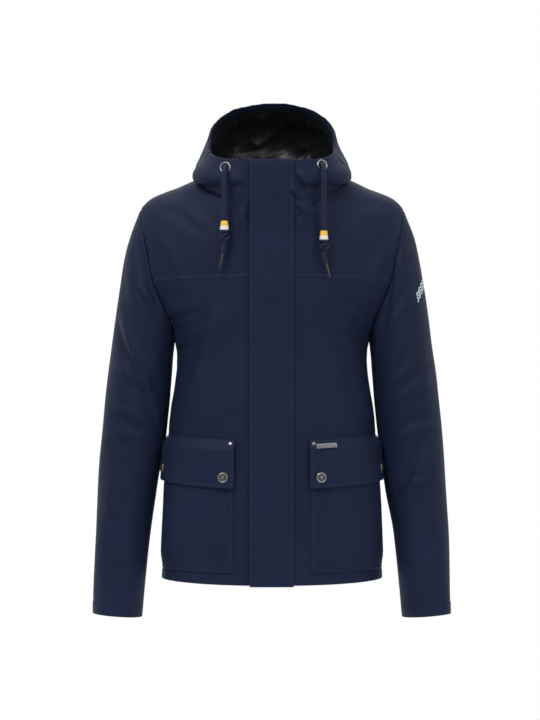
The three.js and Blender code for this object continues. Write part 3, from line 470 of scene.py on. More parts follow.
for side in ("right", "left"):
    cord, knot, bead, aglet = makeCord(side), makeKnot(side), makeBead(side), makeAglet(side)
    for piece, node, body, slotName in (
        (cord, f"{side}_cord", "jacket", "cord"),
        (knot, f"{side}_knot", "jacket", "cord"),
        (bead, f"{side}_bead", f"{side}_bead", "bead"),
        (aglet, f"{side}_aglet", "jacket", "metal"),
    ):
        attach(piece, body)
        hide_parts(node)
print("cords made")

# the jacket's surfaces, in mm
hemZ, collarTopZ, hemFrontY, collarFrontY, bodyMidY = -685.5, 14, -210, -188, -76
bodyRows = {
    "sideX": [184, 179.5, 171, 163, 240, 221, 152, 90],
    "sideZ": [-680.5, -560, -420, -285, -184, -65, -25, 0],
    "frontZ": [hemZ, -560, -415, -275, -174, -143, -115, -92],
    "backY": [52, 50, 46, 52, 55, 46, 29, 13],
    "backZ": [hemZ, -560, -420, -285, -176, -105, -45, 0],
    "frontSquare": [0.85, 0.85, 0.85, 0.9, 1, 1, 0.9, 0.75],
    "backSquare": [0.85, 0.85, 0.85, 0.9, 1, 1.05, 1, 1],
}
hoodRows = {
    "sideX": [90, 112, 127.5, 128.5, 115, 106],
    "sideZ": [0, -3.8, -8.5, 9, 38, 64],
    "midY": [-76, -78, -80, -80, -78, -72],
    "frontZ": [-92, -66, -40, -20, -3, 13],
    "backY": [13, 40, 62, 70, 52, -4],
    "backZ": [0, -3, 12, 46, 92, 121],
    "square": [0.75, 0.72, 0.65, 0.58, 0.56, 0.58],
    "backSquare": [1, 0.9, 0.85, 0.85, 0.85, 0.8],
    "frontPower": [2, 1.2, 0.8, 0.5, 0.4, 0.35],
    "backPower": [2, 2, 2, 1.6, 1.3, 1.15],
}
sleeveRows = {
    "outX": [221, 244, 262, 276, 288, 295, 299],
    "outZ": [-66, -130, -245, -350, -470, -605, -739],
    "inX": [163, 168.5, 173.5, 181, 192.5, 206, 217],
    "inZ": [-285, -335, -395, -460, -525, -630, -745],
    "halfDepth": [66, 73, 71, 65, 59, 52, 45],
    "midY": [-76, -77, -78, -80, -83, -88, -94],
}
armpit, yokeSeam, shoulderTip, neck = 3, 4, 5, 7
armholeReach = 34


def column(values):
    values = np.array(values, float)
    last = len(values) - 1

    def at(level):
        level = np.asarray(level, float)
        i = np.clip(np.floor(level).astype(int), 0, last - 1)
        f = level - i
        a, b, c, d = (values[np.clip(i + k, 0, last)] for k in (-1, 0, 1, 2))
        return b + 0.5 * f * (c - a + f * (2 * a - 5 * b + 4 * c - d + f * (3 * (b - c) + d - a)))

    return at


bodyShape = {key: column(values) for key, values in bodyRows.items()}
hoodShape = {key: column(values) for key, values in hoodRows.items()}
armShape = {key: column(values) for key, values in sleeveRows.items()}


def frontLineY(z):
    return hemFrontY + (z - hemZ) * (collarFrontY - hemFrontY) / (collarTopZ - hemZ)


def signedPower(x, power):
    return np.sign(x) * np.abs(x) ** power


def smooth(x):
    x = np.clip(x, 0, 1)
    return x * x * (3 - 2 * x)


def mix(a, b, f):
    return a + (b - a) * f


def bodyPoint(angle, level):
    s, c = np.sin(np.radians(angle)), np.cos(np.radians(angle))
    front = c > 0
    shape = bodyShape
    square = np.where(front, shape["frontSquare"](level), shape["backSquare"](level))
    reach = np.where(front, bodyMidY - frontLineY(shape["frontZ"](level)), shape["backY"](level) - bodyMidY)
    centreZ = np.where(front, shape["frontZ"](level), shape["backZ"](level))
    return np.stack(
        [
            shape["sideX"](level) * signedPower(s, square),
            bodyMidY - reach * signedPower(c, square),
            mix(shape["sideZ"](level), centreZ, c * c),
        ],
        -1,
    )


def hoodPoint(angle, level):
    s, c = np.sin(np.radians(angle)), np.cos(np.radians(angle))
    front = c > 0
    shape = hoodShape
    square = np.where(front, shape["square"](level), shape["backSquare"](level))
    mid = shape["midY"](level)
    centreZ = np.where(front, shape["frontZ"](level), shape["backZ"](level))
    reach = np.where(front, mid - frontLineY(centreZ), shape["backY"](level) - mid)
    power = np.where(front, shape["frontPower"](level), shape["backPower"](level))
    return np.stack(
        [
            shape["sideX"](level) * signedPower(s, square),
            mid - reach * signedPower(c, square),
            mix(shape["sideZ"](level), centreZ, np.abs(c) ** power),
        ],
        -1,
    )


def panelReach(level):
    share = np.clip((level - armpit) / (shoulderTip - armpit), 0, 1)
    return 90 - armholeReach * np.sqrt(np.abs(np.sin(math.pi * share)))


def railPoint(turn, level):
    c = np.cos(np.radians(turn))
    return np.stack(
        [
            (armShape["outX"](level) * (1 + c) + armShape["inX"](level) * (1 - c)) / 2,
            armShape["midY"](level) - armShape["halfDepth"](level) * np.sin(np.radians(turn)),
            (armShape["outZ"](level) * (1 + c) + armShape["inZ"](level) * (1 - c)) / 2,
        ],
        -1,
    )


def sleevePoint(turn, level):
    turn, level = np.broadcast_arrays(np.mod(turn, 360), level)
    share = (1 + np.cos(np.radians(turn))) / 2
    bodyLevel = mix(armpit, shoulderTip, share)
    reach = panelReach(bodyLevel)
    edge = bodyPoint(np.where(turn <= 180, reach, 180 - reach), bodyLevel)
    seam = edge - railPoint(turn, np.zeros_like(level))
    fade = 1 - smooth(level / 1.5)
    return railPoint(turn, level) + seam * fade[..., None] + np.array([0.97, 0, -0.26]) * 0.4


def surfaceNormal(point, u, v):
    d = 1e-3
    du = point(u + d, v) - point(u - d, v)
    dv = point(u, v + d) - point(u, v - d)
    n = np.cross(du, dv)
    return n / np.maximum(np.linalg.norm(n, axis=-1, keepdims=True), 1e-12)


def angleAtX(x, shape, square, level):
    return np.degrees(np.arcsin(np.clip(x / shape["sideX"](level), 0, 1) ** (1 / shape[square](level))))


def bodyAngleAtX(x, level):
    return angleAtX(x, bodyShape, "frontSquare", level)


def chinAngleAtX(x, level):
    return angleAtX(x, hoodShape, "square", level)


def hoodAngleAtY(y, level):
    mid = hoodShape["midY"](level)
    reach = mid - frontLineY(hoodShape["frontZ"](level))
    return np.degrees(np.arccos(np.clip((mid - y) / reach, 0, 1) ** (1 / hoodShape["square"](level))))


def levelAtZ(z):
    low, high = 0.0, float(armpit)
    for _ in range(40):
        middle = (low + high) / 2
        if bodyShape["sideZ"](middle) < z:
            low = middle
        else:
            high = middle
    return low


# folds and seams
def ripple(points, stretch, seed):
    # smooth noise from -1 to 1; stretch is the size in mm of a bump along x, y and z
    return np.array([noise.noise(Vector((x / stretch[0] + seed, y / stretch[1], z / stretch[2]))) for x, y, z in points])


def foldShift(points, normals, folds):
    # each fold: from (x, z) to (x, z), width, depth and the side it lies on, -1 front or +1 back
    total = np.zeros(len(points))
    for x0, z0, x1, z1, width, depth, facing in folds:
        dx, dz = x1 - x0, z1 - z0
        long = math.hypot(dx, dz)
        qx, qz = points[:, 0] - x0, points[:, 2] - z0
        t = (qx * dx + qz * dz) / long**2
        r = (qx * dz - qz * dx) / long
        r = r + width * 0.35 * np.sin(t * 5 + x0)
        fade = smooth((t + 0.15) / 0.4) * smooth((1.15 - t) / 0.4)
        shape = np.exp(-((r + width * 0.7) / width) ** 2) - 0.8 * np.exp(-((r - width * 0.7) / (0.8 * width)) ** 2)
        total += depth * shape * fade * np.clip(facing * normals[:, 1] * 2.5, 0, 1)
    return total


neckFolds = [
    (38, -10, 62, -49, 6, 3.9, -1), (27, -36, 50, -54, 4.5, 2.9, -1), (62, 2, 84, -44, 7, 2.3, -1),
    (-52, -26, -78, -70, 8, 2.1, -1), (-40, -40, -58, -96, 7, 1.7, -1), (40, -60, 62, -84, 6, 1.8, -1),
]
frontFolds = [
    (-90, -233, -150, -390, 13, 6.2, -1), (-120, -300, -158, -420, 10, 3.0, -1),
    (-176, -250, -120, -226, 9, 2.4, -1), (-160, -292, -112, -276, 8, 2.2, -1),
    (92, -240, 150, -372, 14, 3.0, -1), (170, -252, 118, -228, 9, 2.4, -1),
    (158, -296, 108, -280, 8, 2.0, -1), (128, -330, 160, -430, 10, 2.0, -1),
    (-58, -300, -66, -452, 16, 1.8, -1), (62, -290, 70, -440, 16, 1.8, -1),
    (-196, -100, -150, -210, 12, 2.2, -1), (196, -96, 152, -205, 12, 2.2, -1),
    (-176, -60, -108, -98, 11, 1.9, -1), (178, -60, 112, -96, 11, 1.8, -1),
    (48, -62, 70, -128, 8, 1.4, -1), (-60, -560, -150, -600, 12, 1.1, -1),
]
backFolds = [
    (-150, -270, -60, -240, 14, 3.0, 1), (150, -270, 62, -236, 14, 3.0, 1),
    (-140, -330, -70, -440, 16, 2.6, 1), (144, -320, 76, -430, 16, 2.4, 1),
    (-30, -260, -24, -520, 20, 2.0, 1), (44, -280, 38, -560, 20, 1.8, 1),
    (-96, -440, -104, -660, 18, 1.8, 1), (100, -430, 108, -660, 18, 1.7, 1),
    (-190, -110, -110, -150, 12, 1.8, 1), (190, -108, 112, -152, 12, 1.8, 1),
]
sleeveFolds = {
    "right": [
        (-255, -245, -188, -425, 9, 6.2, -1), (-216, -112, -184, -240, 7, 4.3, -1),
        (-200, -130, -176, -205, 6, 3.2, -1), (-224, -196, -180, -248, 7, 3.8, -1),
        (-262, -330, -206, -366, 9, 2.7, -1), (-270, -402, -208, -424, 9, 3.0, -1),
        (-276, -446, -206, -452, 8, 2.2, -1), (-236, -300, -190, -352, 8, 2.4, -1),
        (-284, -560, -226, -596, 9, 1.6, -1), (-290, -640, -236, -668, 9, 1.5, -1),
        (-250, -120, -226, -240, 12, 2.2, -1),
        (-252, -240, -196, -330, 12, 3.2, 1), (-268, -380, -204, -420, 10, 3.2, 1),
        (-274, -430, -206, -452, 9, 2.7, 1), (-282, -520, -220, -590, 11, 2.2, 1),
    ],
    "left": [
        (256, -464, 200, -560, 11, 6.2, -1), (216, -118, 192, -250, 8, 3.2, -1),
        (226, -196, 188, -262, 8, 3.0, -1),
        (262, -340, 206, -372, 9, 2.4, -1), (272, -414, 206, -440, 9, 2.7, -1),
        (238, -300, 190, -356, 8, 2.2, -1), (276, -500, 214, -520, 8, 1.9, -1),
        (288, -618, 232, -652, 9, 1.6, -1), (250, -130, 228, -250, 12, 2.0, -1),
        (252, -236, 196, -326, 12, 3.2, 1), (268, -376, 204, -416, 10, 3.2, 1),
        (276, -440, 208, -462, 9, 2.6, 1), (284, -540, 222, -600, 11, 2.0, 1),
    ],
}


def easeEnds(s, amount):
    # crowds the columns of a grid towards its two ends
    return s - amount * np.sin(2 * math.pi * s) / (2 * math.pi)


def edgeDistances(s, t, size):
    return {"first": s * size[0], "last": (1 - s) * size[0], "bottom": t * size[1], "top": (1 - t) * size[1]}


def seamShift(s, t, size, seams, seed):
    # turned-under edges and the puckers that a row of stitches draws in
    total = np.zeros(len(s))
    for name, distance in edgeDistances(s, t, size).items():
        strength = seams.get(name, 0)
        if strength:
            run = t * size[1] if name in ("first", "last") else s * size[0]
            wave = np.array([noise.noise(Vector((r / 17 + seed, seed * 1.7, len(name)))) for r in run])
            fine = np.array([noise.noise(Vector((r / 6.5 - seed, seed * 0.7, len(name)))) for r in run])
            total -= 0.9 * np.exp(-((distance / 2.4) ** 2)) * min(strength, 1)
            total += strength * (1.1 * wave + 0.5 * fine) * np.exp(-distance / 9.0)
    return total


def hemShift(distance, deep=24.0, step=0.7):
    # a doubled hem stands a little proud of the cloth above it
    return step * smooth((deep - distance) / 2.5)


def clothPlace(point, side, fromAngle, toAngle, levels, size, lift=0.0, seams=None, folds=(), seed=1.0, hem=None,
               wave=(1.3, (55, 60, 120)), calmEdges=True, extra=None, fillet=None):
    sign = -1 if side == "right" else 1

    def place(s, t):
        s, t = np.asarray(s, float), np.asarray(t, float)
        level = mix(levels[0], levels[1], t)
        angle = mix(fromAngle(level), toAngle(level), s)
        points = point(angle, level)
        normals = surfaceNormal(point, angle, level)
        points[:, 0] *= sign
        normals[:, 0] *= sign
        shift = lift + foldShift(points, normals, folds) + seamShift(s, t, size, seams or {}, seed)
        if wave[0]:
            calm = np.clip(np.minimum(s, 1 - s) * size[0] / 18, 0, 1) if calmEdges else 1
            shift = shift + wave[0] * ripple(points, wave[1], seed) * calm
        if extra:
            shift = shift + extra(points, level)
        if fillet:
            points = points + fillet(points, level)
        if hem:
            shift = shift + hemShift(edgeDistances(s, t, size)[hem])
        return points + normals * shift[:, None]

    place.sign = sign
    return place


def makeSheet(name, place, columns, rows, thickness, material, size, ease=(0.5, 0.5), closed=False, highlightedEdges=(),
              outward=False):
    bm = bmesh.new()
    uvLayer = bm.loops.layers.uv.new("UVMap")
    bmesh.ops.create_grid(bm, x_segments=columns, y_segments=rows, size=0.5)
    flat = np.array([v.co[:2] for v in bm.verts]) + 0.5
    s, t = flat[:, 0], easeEnds(flat[:, 1], ease[1])
    if not closed:
        s = easeEnds(s, ease[0])
    points = place(s, t) * 0.001
    distances = edgeDistances(s, t, size)
    # painted edge highlight mask: 1 at the listed edges, falling off over about 3 mm
    edgeHighlight = np.zeros(len(s))
    for edge in highlightedEdges:
        edgeHighlight = np.maximum(edgeHighlight, np.exp(-distances[edge] / 3.0))
    edgeHighlightLayer = bm.verts.layers.float.new("edgeHighlightMask")
    for vertex, spot, highlightAmount in zip(bm.verts, points, edgeHighlight):
        vertex.co = spot
        vertex[edgeHighlightLayer] = highlightAmount
    bm.verts.index_update()
    for face in bm.faces:
        for loop in face.loops:
            k = loop.vert.index
            loop[uvLayer].uv = (s[k] * size[0] * 0.001, t[k] * size[1] * 0.001)
    if place.sign < 0:
        bmesh.ops.reverse_faces(bm, faces=bm.faces)
    if closed:
        bmesh.ops.remove_doubles(bm, verts=bm.verts, dist=2e-6)
    area = sum(face.calc_area() for face in bm.faces)
    piece = addMesh(name, bm)
    thicken = piece.modifiers.new("thickness", "SOLIDIFY")
    thicken.thickness = thickness * 0.001
    thicken.offset = 1 if outward else -1
    thicken.use_even_offset = False
    mesh = bpy.data.meshes.new_from_object(piece.evaluated_get(bpy.context.evaluated_depsgraph_get()))
    piece.modifiers.clear()
    piece.data = mesh
    mesh.name = name
    mesh.shade_smooth()
    mesh.set_sharp_from_angle(angle=math.radians(50))
    piece["clothArea"] = area
    return paint(piece, material)


def settle(piece, body, replaced=(), blended=None):
    if blended:
        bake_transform(piece)
    else:
        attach(piece, body)
    if replaced:
        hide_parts(*replaced)
    return piece


# stitches
stitchSettings = {"pitch": 3.4, "long": 2.3, "wide": 0.5, "high": 0.24}


def stitchLine(bm, place, line, count=160, standOff=0.05):
    # line: list of (s, t) corners that the row of stitches joins
    line = np.array(line, float)
    run = np.concatenate([[0], np.cumsum(np.linalg.norm(np.diff(line, axis=0), axis=1))])
    at = np.linspace(0, run[-1], count)
    s, t = np.interp(at, run, line[:, 0]), np.interp(at, run, line[:, 1])
    e = 2e-3
    points = place(s, t)
    across = place(np.minimum(s + e, 1), t) - place(np.maximum(s - e, 0), t)
    up = place(s, np.minimum(t + e, 1)) - place(s, np.maximum(t - e, 0))
    normals = np.cross(across, up) * place.sign
    normals /= np.maximum(np.linalg.norm(normals, axis=1, keepdims=True), 1e-9)
    steps = np.linalg.norm(np.diff(points, axis=0), axis=1)
    length = np.concatenate([[0], np.cumsum(steps)])
    given = stitchSettings
    for spot in np.arange(given["pitch"] / 2, length[-1] - given["pitch"] / 2, given["pitch"]):
        centre = np.array([np.interp(spot, length, points[:, k]) for k in range(3)])
        ahead = np.array([np.interp(spot + 0.6, length, points[:, k]) for k in range(3)])
        normal = Vector([np.interp(spot, length, normals[:, k]) for k in range(3)]).normalized()
        along = Vector(ahead - centre)
        if along.length < 1e-6:
            continue
        along.normalize()
        side = normal.cross(along).normalized()
        turned = Matrix((along, side, normal)).transposed().to_4x4()
        stretched = Matrix.Diagonal((given["long"] * 0.001, given["wide"] * 0.001, given["high"] * 0.001, 1))
        spotAt = Matrix.Translation((Vector(centre) + normal * standOff) * 0.001)
        bmesh.ops.create_cube(bm, size=1, matrix=spotAt @ turned @ stretched)


def makeStitches(name, rows, body, blended=None, material=None):
    bm = bmesh.new()
    for place, line in rows:
        stitchLine(bm, place, line)
    piece = addMesh(name, bm)
    paint(piece, material or stitchThread)
    return settle(piece, body, (), blended)


# body shell
def neckFillet(points, distance):
    # fills the hollow where the hood stands on the front yokes, so that no seam shows there
    around = np.stack([points[:, 0], points[:, 1] + 60, np.zeros(len(points))], -1)
    around /= np.linalg.norm(around, axis=1, keepdims=True)
    amount = 8.0 * np.exp(-((distance / 0.8) ** 2)) * smooth((-points[:, 1] - 70) / 50)
    amount = amount * smooth((np.abs(points[:, 0]) - 36) / 16)
    return around * amount[:, None]


def sideFill(points, level):
    # the side seams belly out towards the sleeves
    near = np.exp(-(((np.abs(points[:, 0]) - 172) / 10) ** 2))
    return 1.3 * near * smooth((level - 1.1) / 0.5) * smooth((3.0 - level) / 0.3)


bodySettings = {"thickness": 1.6, "panelEdge": 13, "liningEdge": 22, "liningDepth": 6.2}
seamsAll = {"first": 0.5, "last": 0.8, "bottom": 0.7, "top": 0.7}


def fromPlacket(level):
    return bodyAngleAtX(bodySettings["panelEdge"], level)


def toArmhole(level):
    return panelReach(level)


bodyPlaces = {}
for side in ("right", "left"):
    seed = 3.1 if side == "right" else 7.7
    lowerSize, yokeSize = (236, 508), (196, 170)
    lower = clothPlace(bodyPoint, side, fromPlacket, toArmhole, (0, yokeSeam), lowerSize, 0.2,
                       {"first": 0.3, "last": 0.9, "bottom": 0.8, "top": 0.9}, frontFolds, seed, "bottom",
                       extra=sideFill)
    yoke = clothPlace(bodyPoint, side, fromPlacket, toArmhole, (yokeSeam, neck), yokeSize, 0.2,
                      {"first": 0.3, "last": 0.9, "bottom": 0.9}, frontFolds + neckFolds, seed + 1, calmEdges=False,
                      fillet=lambda points, level: neckFillet(points, neck - level))
    bodyPlaces[side] = (lower, yoke)
    panel = makeSheet(f"{side}FrontPanel", lower, 84, 168, bodySettings["thickness"], shellCloth, lowerSize,
                      highlightedEdges=("bottom", "top"))
    settle(panel, "jacket", (f"{side}_front_panel",))
    top = makeSheet(f"{side}FrontYoke", yoke, 76, 66, bodySettings["thickness"], shellCloth, yokeSize,
                    highlightedEdges=("bottom",))
    settle(top, "jacket", (f"{side}_front_yoke",))
    makeStitches(
        f"{side}FrontStitches",
        [
            (lower, [(0.02, 22 / 508), (0.99, 22 / 508)]),
            (yoke, [(0.02, 0.016), (0.985, 0.016)]),
            (yoke, [(0.02, 0.052), (0.975, 0.052)]),
        ],
        "jacket",
    )

backSizes = {"lower": (420, 508), "yoke": (400, 200)}


def backFrom(level):
    return 180 - panelReach(level)


def backTo(level):
    return 180 + panelReach(level)


backLower = clothPlace(bodyPoint, "left", backFrom, backTo, (0, yokeSeam), backSizes["lower"], 0.2,
                       {"first": 0.9, "last": 0.9, "bottom": 0.8, "top": 0.9}, backFolds, 11.3, "bottom",
                       (1.8, (60, 60, 150)), extra=sideFill)
backUpper = clothPlace(bodyPoint, "left", backFrom, backTo, (yokeSeam, neck), backSizes["yoke"], 0.2,
                       {"first": 0.9, "last": 0.9, "bottom": 0.9, "top": 0.7}, backFolds, 12.9)
backPanel = makeSheet("backPanel", backLower, 130, 168, bodySettings["thickness"], shellCloth, backSizes["lower"],
                      highlightedEdges=("bottom", "top"))
settle(backPanel, "jacket", ("back_panel",))
backYoke = makeSheet("backYoke", backUpper, 124, 74, bodySettings["thickness"], shellCloth, backSizes["yoke"],
                     highlightedEdges=("bottom",))
settle(backYoke, "jacket", ("back_yoke",))
makeStitches(
    "backStitches",
    [
        (backLower, [(0.01, 22 / 508), (0.99, 22 / 508)]),
        (backUpper, [(0.01, 0.014), (0.99, 0.014)]),
        (backUpper, [(0.012, 0.046), (0.988, 0.046)]),
    ],
    "jacket",
)
print("body shell made")

# linings inside the body
for side in ("right", "left"):
    place = clothPlace(bodyPoint, side, lambda level: bodyAngleAtX(bodySettings["liningEdge"], level), toArmhole,
                       (0.2, 6.92), (230, 690), -bodySettings["liningDepth"], {}, (), 21.0, None, (1.0, (40, 50, 90)))
    lining = makeSheet(f"{side}FrontLining", place, 30, 76, 0.7, bodyLiningCloth, (230, 690))
    settle(lining, "jacket", (f"{side}_front_lining",))
place = clothPlace(bodyPoint, "left", backFrom, backTo, (0.2, 6.92), (420, 690), -bodySettings["liningDepth"], {},
                   (), 23.0, None, (1.0, (40, 50, 90)))
settle(makeSheet("backLining", place, 52, 76, 0.7, bodyLiningCloth, (420, 690)), "jacket", ("back_lining",))

# sleeves
sleeveSettings = {"thickness": 1.6, "size": (385, 640), "liningDepth": 5.6, "blendFrom": 0.011, "blendTo": 0.038}
outwards = Vector((0.9667, 0, -0.256))
for side in ("right", "left"):
    sign = -1 if side == "right" else 1

    def around(level):
        return np.zeros_like(level)

    def allRound(level):
        return np.full_like(level, 360.0)

    size = sleeveSettings["size"]
    turnedIn = np.array([0.0])

    def sleevePlace(s, t, side=side, sign=sign, size=size):
        # the sleeve hangs from level 0, at the armhole, to the cuff; t rises from the cuff
        s, t = np.asarray(s, float), np.asarray(t, float)
        turn, level = s * 360.0, (1 - t) * 6.0
        points = sleevePoint(turn, level)
        normals = surfaceNormal(sleevePoint, turn, level)
        points[:, 0] *= sign
        normals[:, 0] *= sign
        low, high = t * size[1], (1 - t) * size[1]
        roundPoints = np.stack([np.cos(s * 2 * math.pi) * 60, np.sin(s * 2 * math.pi) * 60, t * size[1]], -1)
        shift = foldShift(points, normals, sleeveFolds[side])
        calm = np.clip(high / 40, 0, 1)
        shift = shift * calm + 1.5 * ripple(roundPoints, (34, 34, 70), 31 + sign) * calm
        shift += hemShift(low) - 0.9 * np.exp(-((high / 2.4) ** 2))
        pucker = ripple(roundPoints, (9, 9, 400), 41 + sign)
        shift += 1.2 * pucker * (np.exp(-high / 9) + 0.7 * np.exp(-np.abs(low - 24) / 8))
        inner = np.exp(-(((s - 0.5) * 7) ** 2))
        shift = shift * (1 - 0.85 * inner)
        fuller = (0.8 + 3.4 * smooth(sign)) * inner * smooth((t - 0.2) / 0.12) * smooth((0.52 - t) / 0.12)
        fuller += 1.4 * inner * smooth((t - 0.45) / 0.1) * smooth((0.92 - t) / 0.1)
        return points + normals * (shift + fuller)[:, None]

    sleevePlace.sign = -sign
    # the armhole's edge lies up to 9 mm outside the plane through the shoulder tip
    shoulder = Vector((0.2213 * sign, -0.076, -0.0665))
    along = Vector((outwards.x * sign, 0, outwards.z))
    blended = (shoulder + along * sleeveSettings["blendFrom"], shoulder + along * sleeveSettings["blendTo"])
    sleeve = makeSheet(f"{side}Sleeve", sleevePlace, 120, 190, sleeveSettings["thickness"], shellCloth, size,
                       (0, 0.3), True, ("bottom",))
    settle(sleeve, f"{side}_sleeve", (f"{side}_sleeve",), blended)

    def innerPlace(s, t, side=side, sign=sign):
        s, t = np.asarray(s, float), np.asarray(t, float)
        turn, level = s * 360.0, mix(5.85, 0.12, t)
        points = sleevePoint(turn, level)
        normals = surfaceNormal(sleevePoint, turn, level)
        points[:, 0] *= sign
        normals[:, 0] *= sign
        roundPoints = np.stack([np.cos(s * 2 * math.pi) * 60, np.sin(s * 2 * math.pi) * 60, t * 600], -1)
        return points + normals * (-sleeveSettings["liningDepth"] + 1.2 * ripple(roundPoints, (22, 22, 60), 51))[:, None]

    innerPlace.sign = -sign
    lining = makeSheet(f"{side}SleeveLining", innerPlace, 48, 60, 0.7, bodyLiningCloth, (370, 620), (0, 0), True)
    settle(lining, f"{side}_sleeve", (f"{side}_sleeve_lining",), blended)
    high = 22 / size[1]
    makeStitches(
        f"{side}SleeveStitches",
        [
            (sleevePlace, [(0.002, high), (0.998, high)]),
            (sleevePlace, [(0.002, 1 - 5 / size[1]), (0.998, 1 - 5 / size[1])]),
            (sleevePlace, [(0.56, 0.02), (0.54, 0.5), (0.52, 0.96)]),
        ],
        f"{side}_sleeve",
        blended,
    )
    bodyPlaces[side] += (sleevePlace, blended)
print("sleeves made")

# hood
hoodSettings = {"thickness": 1.6, "splitY": -128, "liningDepth": 4.4, "crownAngle": 30}


def chinFrom(level):
    return chinAngleAtX(bodySettings["panelEdge"], level)


def chinTo(level):
    return hoodAngleAtY(hoodSettings["splitY"], level)


def hoodFrom(level):
    return hoodAngleAtY(hoodSettings["splitY"], level)


def crownFrom(level):
    return np.full_like(level, 180.0 - hoodSettings["crownAngle"])


def crownTo(level):
    return np.full_like(level, 180.0 + hoodSettings["crownAngle"])


hoodFolds = [
    (-118, 30, -92, -20, 9, 1.8, -1), (116, 28, 90, -24, 9, 1.8, -1), (44, 2, 64, -46, 7, 2.0, -1),
    (58, -6, 78, -60, 7, 1.5, -1), (-52, -20, -84, -60, 8, 1.3, -1), (-90, 70, -60, 20, 12, 2.4, 1),
    (92, 66, 60, 16, 12, 2.2, 1), (0, 96, 12, 20, 14, 2.4, 1), (-40, 90, -28, 30, 12, 1.8, 1),
]
hoodEdges = {"first": 0.7, "last": 0.7, "bottom": 0.8, "top": 0.9}
eyeletSpots = {"right": (77, 4.09), "left": (82.5, 4.26)}


def hoodOverhang(points, level):
    # the hood's lower edge folds over the neck seam at the front
    wide = np.abs(points[:, 0])
    crease = 2.0 + 0.5 * smooth((125 - wide) / 45)
    over = 4.6 * smooth((level - crease) / 0.3) * smooth((4.6 - level) / 1.8)
    under = -2.0 * np.exp(-(((level - crease + 0.2) / 0.35) ** 2))
    return smooth((-points[:, 1] - 88) / 45) * smooth((wide - 37) / 22) * (over + under)


def cutHole(piece, centre, axis, radius):
    # opens the cloth where an eyelet goes through it
    bm = bmesh.new()
    bm.from_mesh(piece.data)
    line = Vector(axis).normalized()
    gone = [
        face for face in bm.faces
        if all(((v.co - centre) - line * (v.co - centre).dot(line)).length < radius for v in face.verts)
        and (face.calc_center_median() - centre).length < radius * 2.2
    ]
    bmesh.ops.delete(bm, geom=gone, context="FACES")
    bm.to_mesh(piece.data)
    bm.free()


def seatOn(point, angle, level, offset, sign):
    angle, level = np.array([angle], float), np.array([level], float)
    normal = surfaceNormal(point, angle, level)[0]
    origin = point(angle, level)[0] + normal * offset
    across = (point(angle + 0.5, level) - point(angle, level))[0]
    across = across - normal * across.dot(normal)
    for v in (normal, origin, across):
        v[0] *= sign
    x, z = Vector(across).normalized(), Vector(normal)
    y = z.cross(x)
    turned = Matrix((x, y, z)).transposed().to_4x4()
    return Matrix.Translation(Vector(origin) * 0.001) @ turned


for side in ("right", "left"):
    sign = -1 if side == "right" else 1
    seed = 61.0 if side == "right" else 67.0
    yokeSeed = (3.1 if side == "right" else 7.7) + 1
    chinEdges = {"first": 0.3, "last": 0.5, "top": 0.9}
    chin = clothPlace(hoodPoint, side, chinFrom, chinTo, (0, 5), (112, 118), 0.2, chinEdges, frontFolds + neckFolds,
                      yokeSeed, calmEdges=False, extra=hoodOverhang, fillet=neckFillet)
    sidePlace = clothPlace(hoodPoint, side, hoodFrom, crownFrom, (0, 5), (190, 128), 0.2, hoodEdges, hoodFolds,
                           seed + 2, None, (2.4, (34, 40, 34)), extra=hoodOverhang, fillet=neckFillet)
    chinPanel = makeSheet(f"{side}ChinPanel", chin, 64, 68, hoodSettings["thickness"], shellCloth, (112, 118),
                          highlightedEdges=("top",))
    x, level = eyeletSpots[side]
    seat = seatOn(hoodPoint, float(chinAngleAtX(x, np.array(level))), level, -0.8, sign)
    cutHole(chinPanel, seat.translation, seat.col[2].xyz, 0.0082)
    settle(chinPanel, "jacket", (f"{side}_chin_panel",))
    hoodSide = makeSheet(f"{side}HoodSide", sidePlace, 84, 70, hoodSettings["thickness"], shellCloth, (190, 128),
                         highlightedEdges=("top", "last"))
    settle(hoodSide, "jacket", (f"{side}_hood_side",))
    makeStitches(
        f"{side}HoodStitches",
        [
            (chin, [(0.03, 0.97), (0.99, 0.97)]),
            (chin, [(0.03, 0.83), (0.99, 0.83)]),
            (sidePlace, [(0.01, 0.97), (0.985, 0.97)]),
            (sidePlace, [(0.01, 0.83), (0.985, 0.83)]),
            (sidePlace, [(0.975, 0.02), (0.975, 0.98)]),
            (sidePlace, [(0.015, 0.03), (0.02, 0.98)]),
        ],
        "jacket",
    )
    facing = clothPlace(hoodPoint, side, lambda level: chinAngleAtX(bodySettings["liningEdge"], level),
                        lambda level: hoodAngleAtY(-144, level), (0.9, 4.9), (80, 84), -15.2, {}, (), seed + 5, None,
                        (1.6, (22, 22, 26)))
    settle(makeSheet(f"{side}ChinFacing", facing, 34, 36, 0.7, satin, (80, 84)), "jacket",
           (f"{side}_chin_facing",))

crown = clothPlace(hoodPoint, "left", crownFrom, crownTo, (0, 5), (150, 132), 0.2, hoodEdges, hoodFolds, 71.0, None,
                   (2.2, (40, 40, 36)))
crownPanel = makeSheet("hoodCrown", crown, 68, 70, hoodSettings["thickness"], shellCloth, (150, 132),
                       highlightedEdges=("top", "first", "last"))
settle(crownPanel, "jacket", ("hood_crown_panel",))
makeStitches(
    "crownStitches",
    [
        (crown, [(0.01, 0.97), (0.99, 0.97)]),
        (crown, [(0.01, 0.83), (0.99, 0.83)]),
        (crown, [(0.03, 0.02), (0.03, 0.98)]),
        (crown, [(0.97, 0.02), (0.97, 0.98)]),
    ],
    "jacket",
)


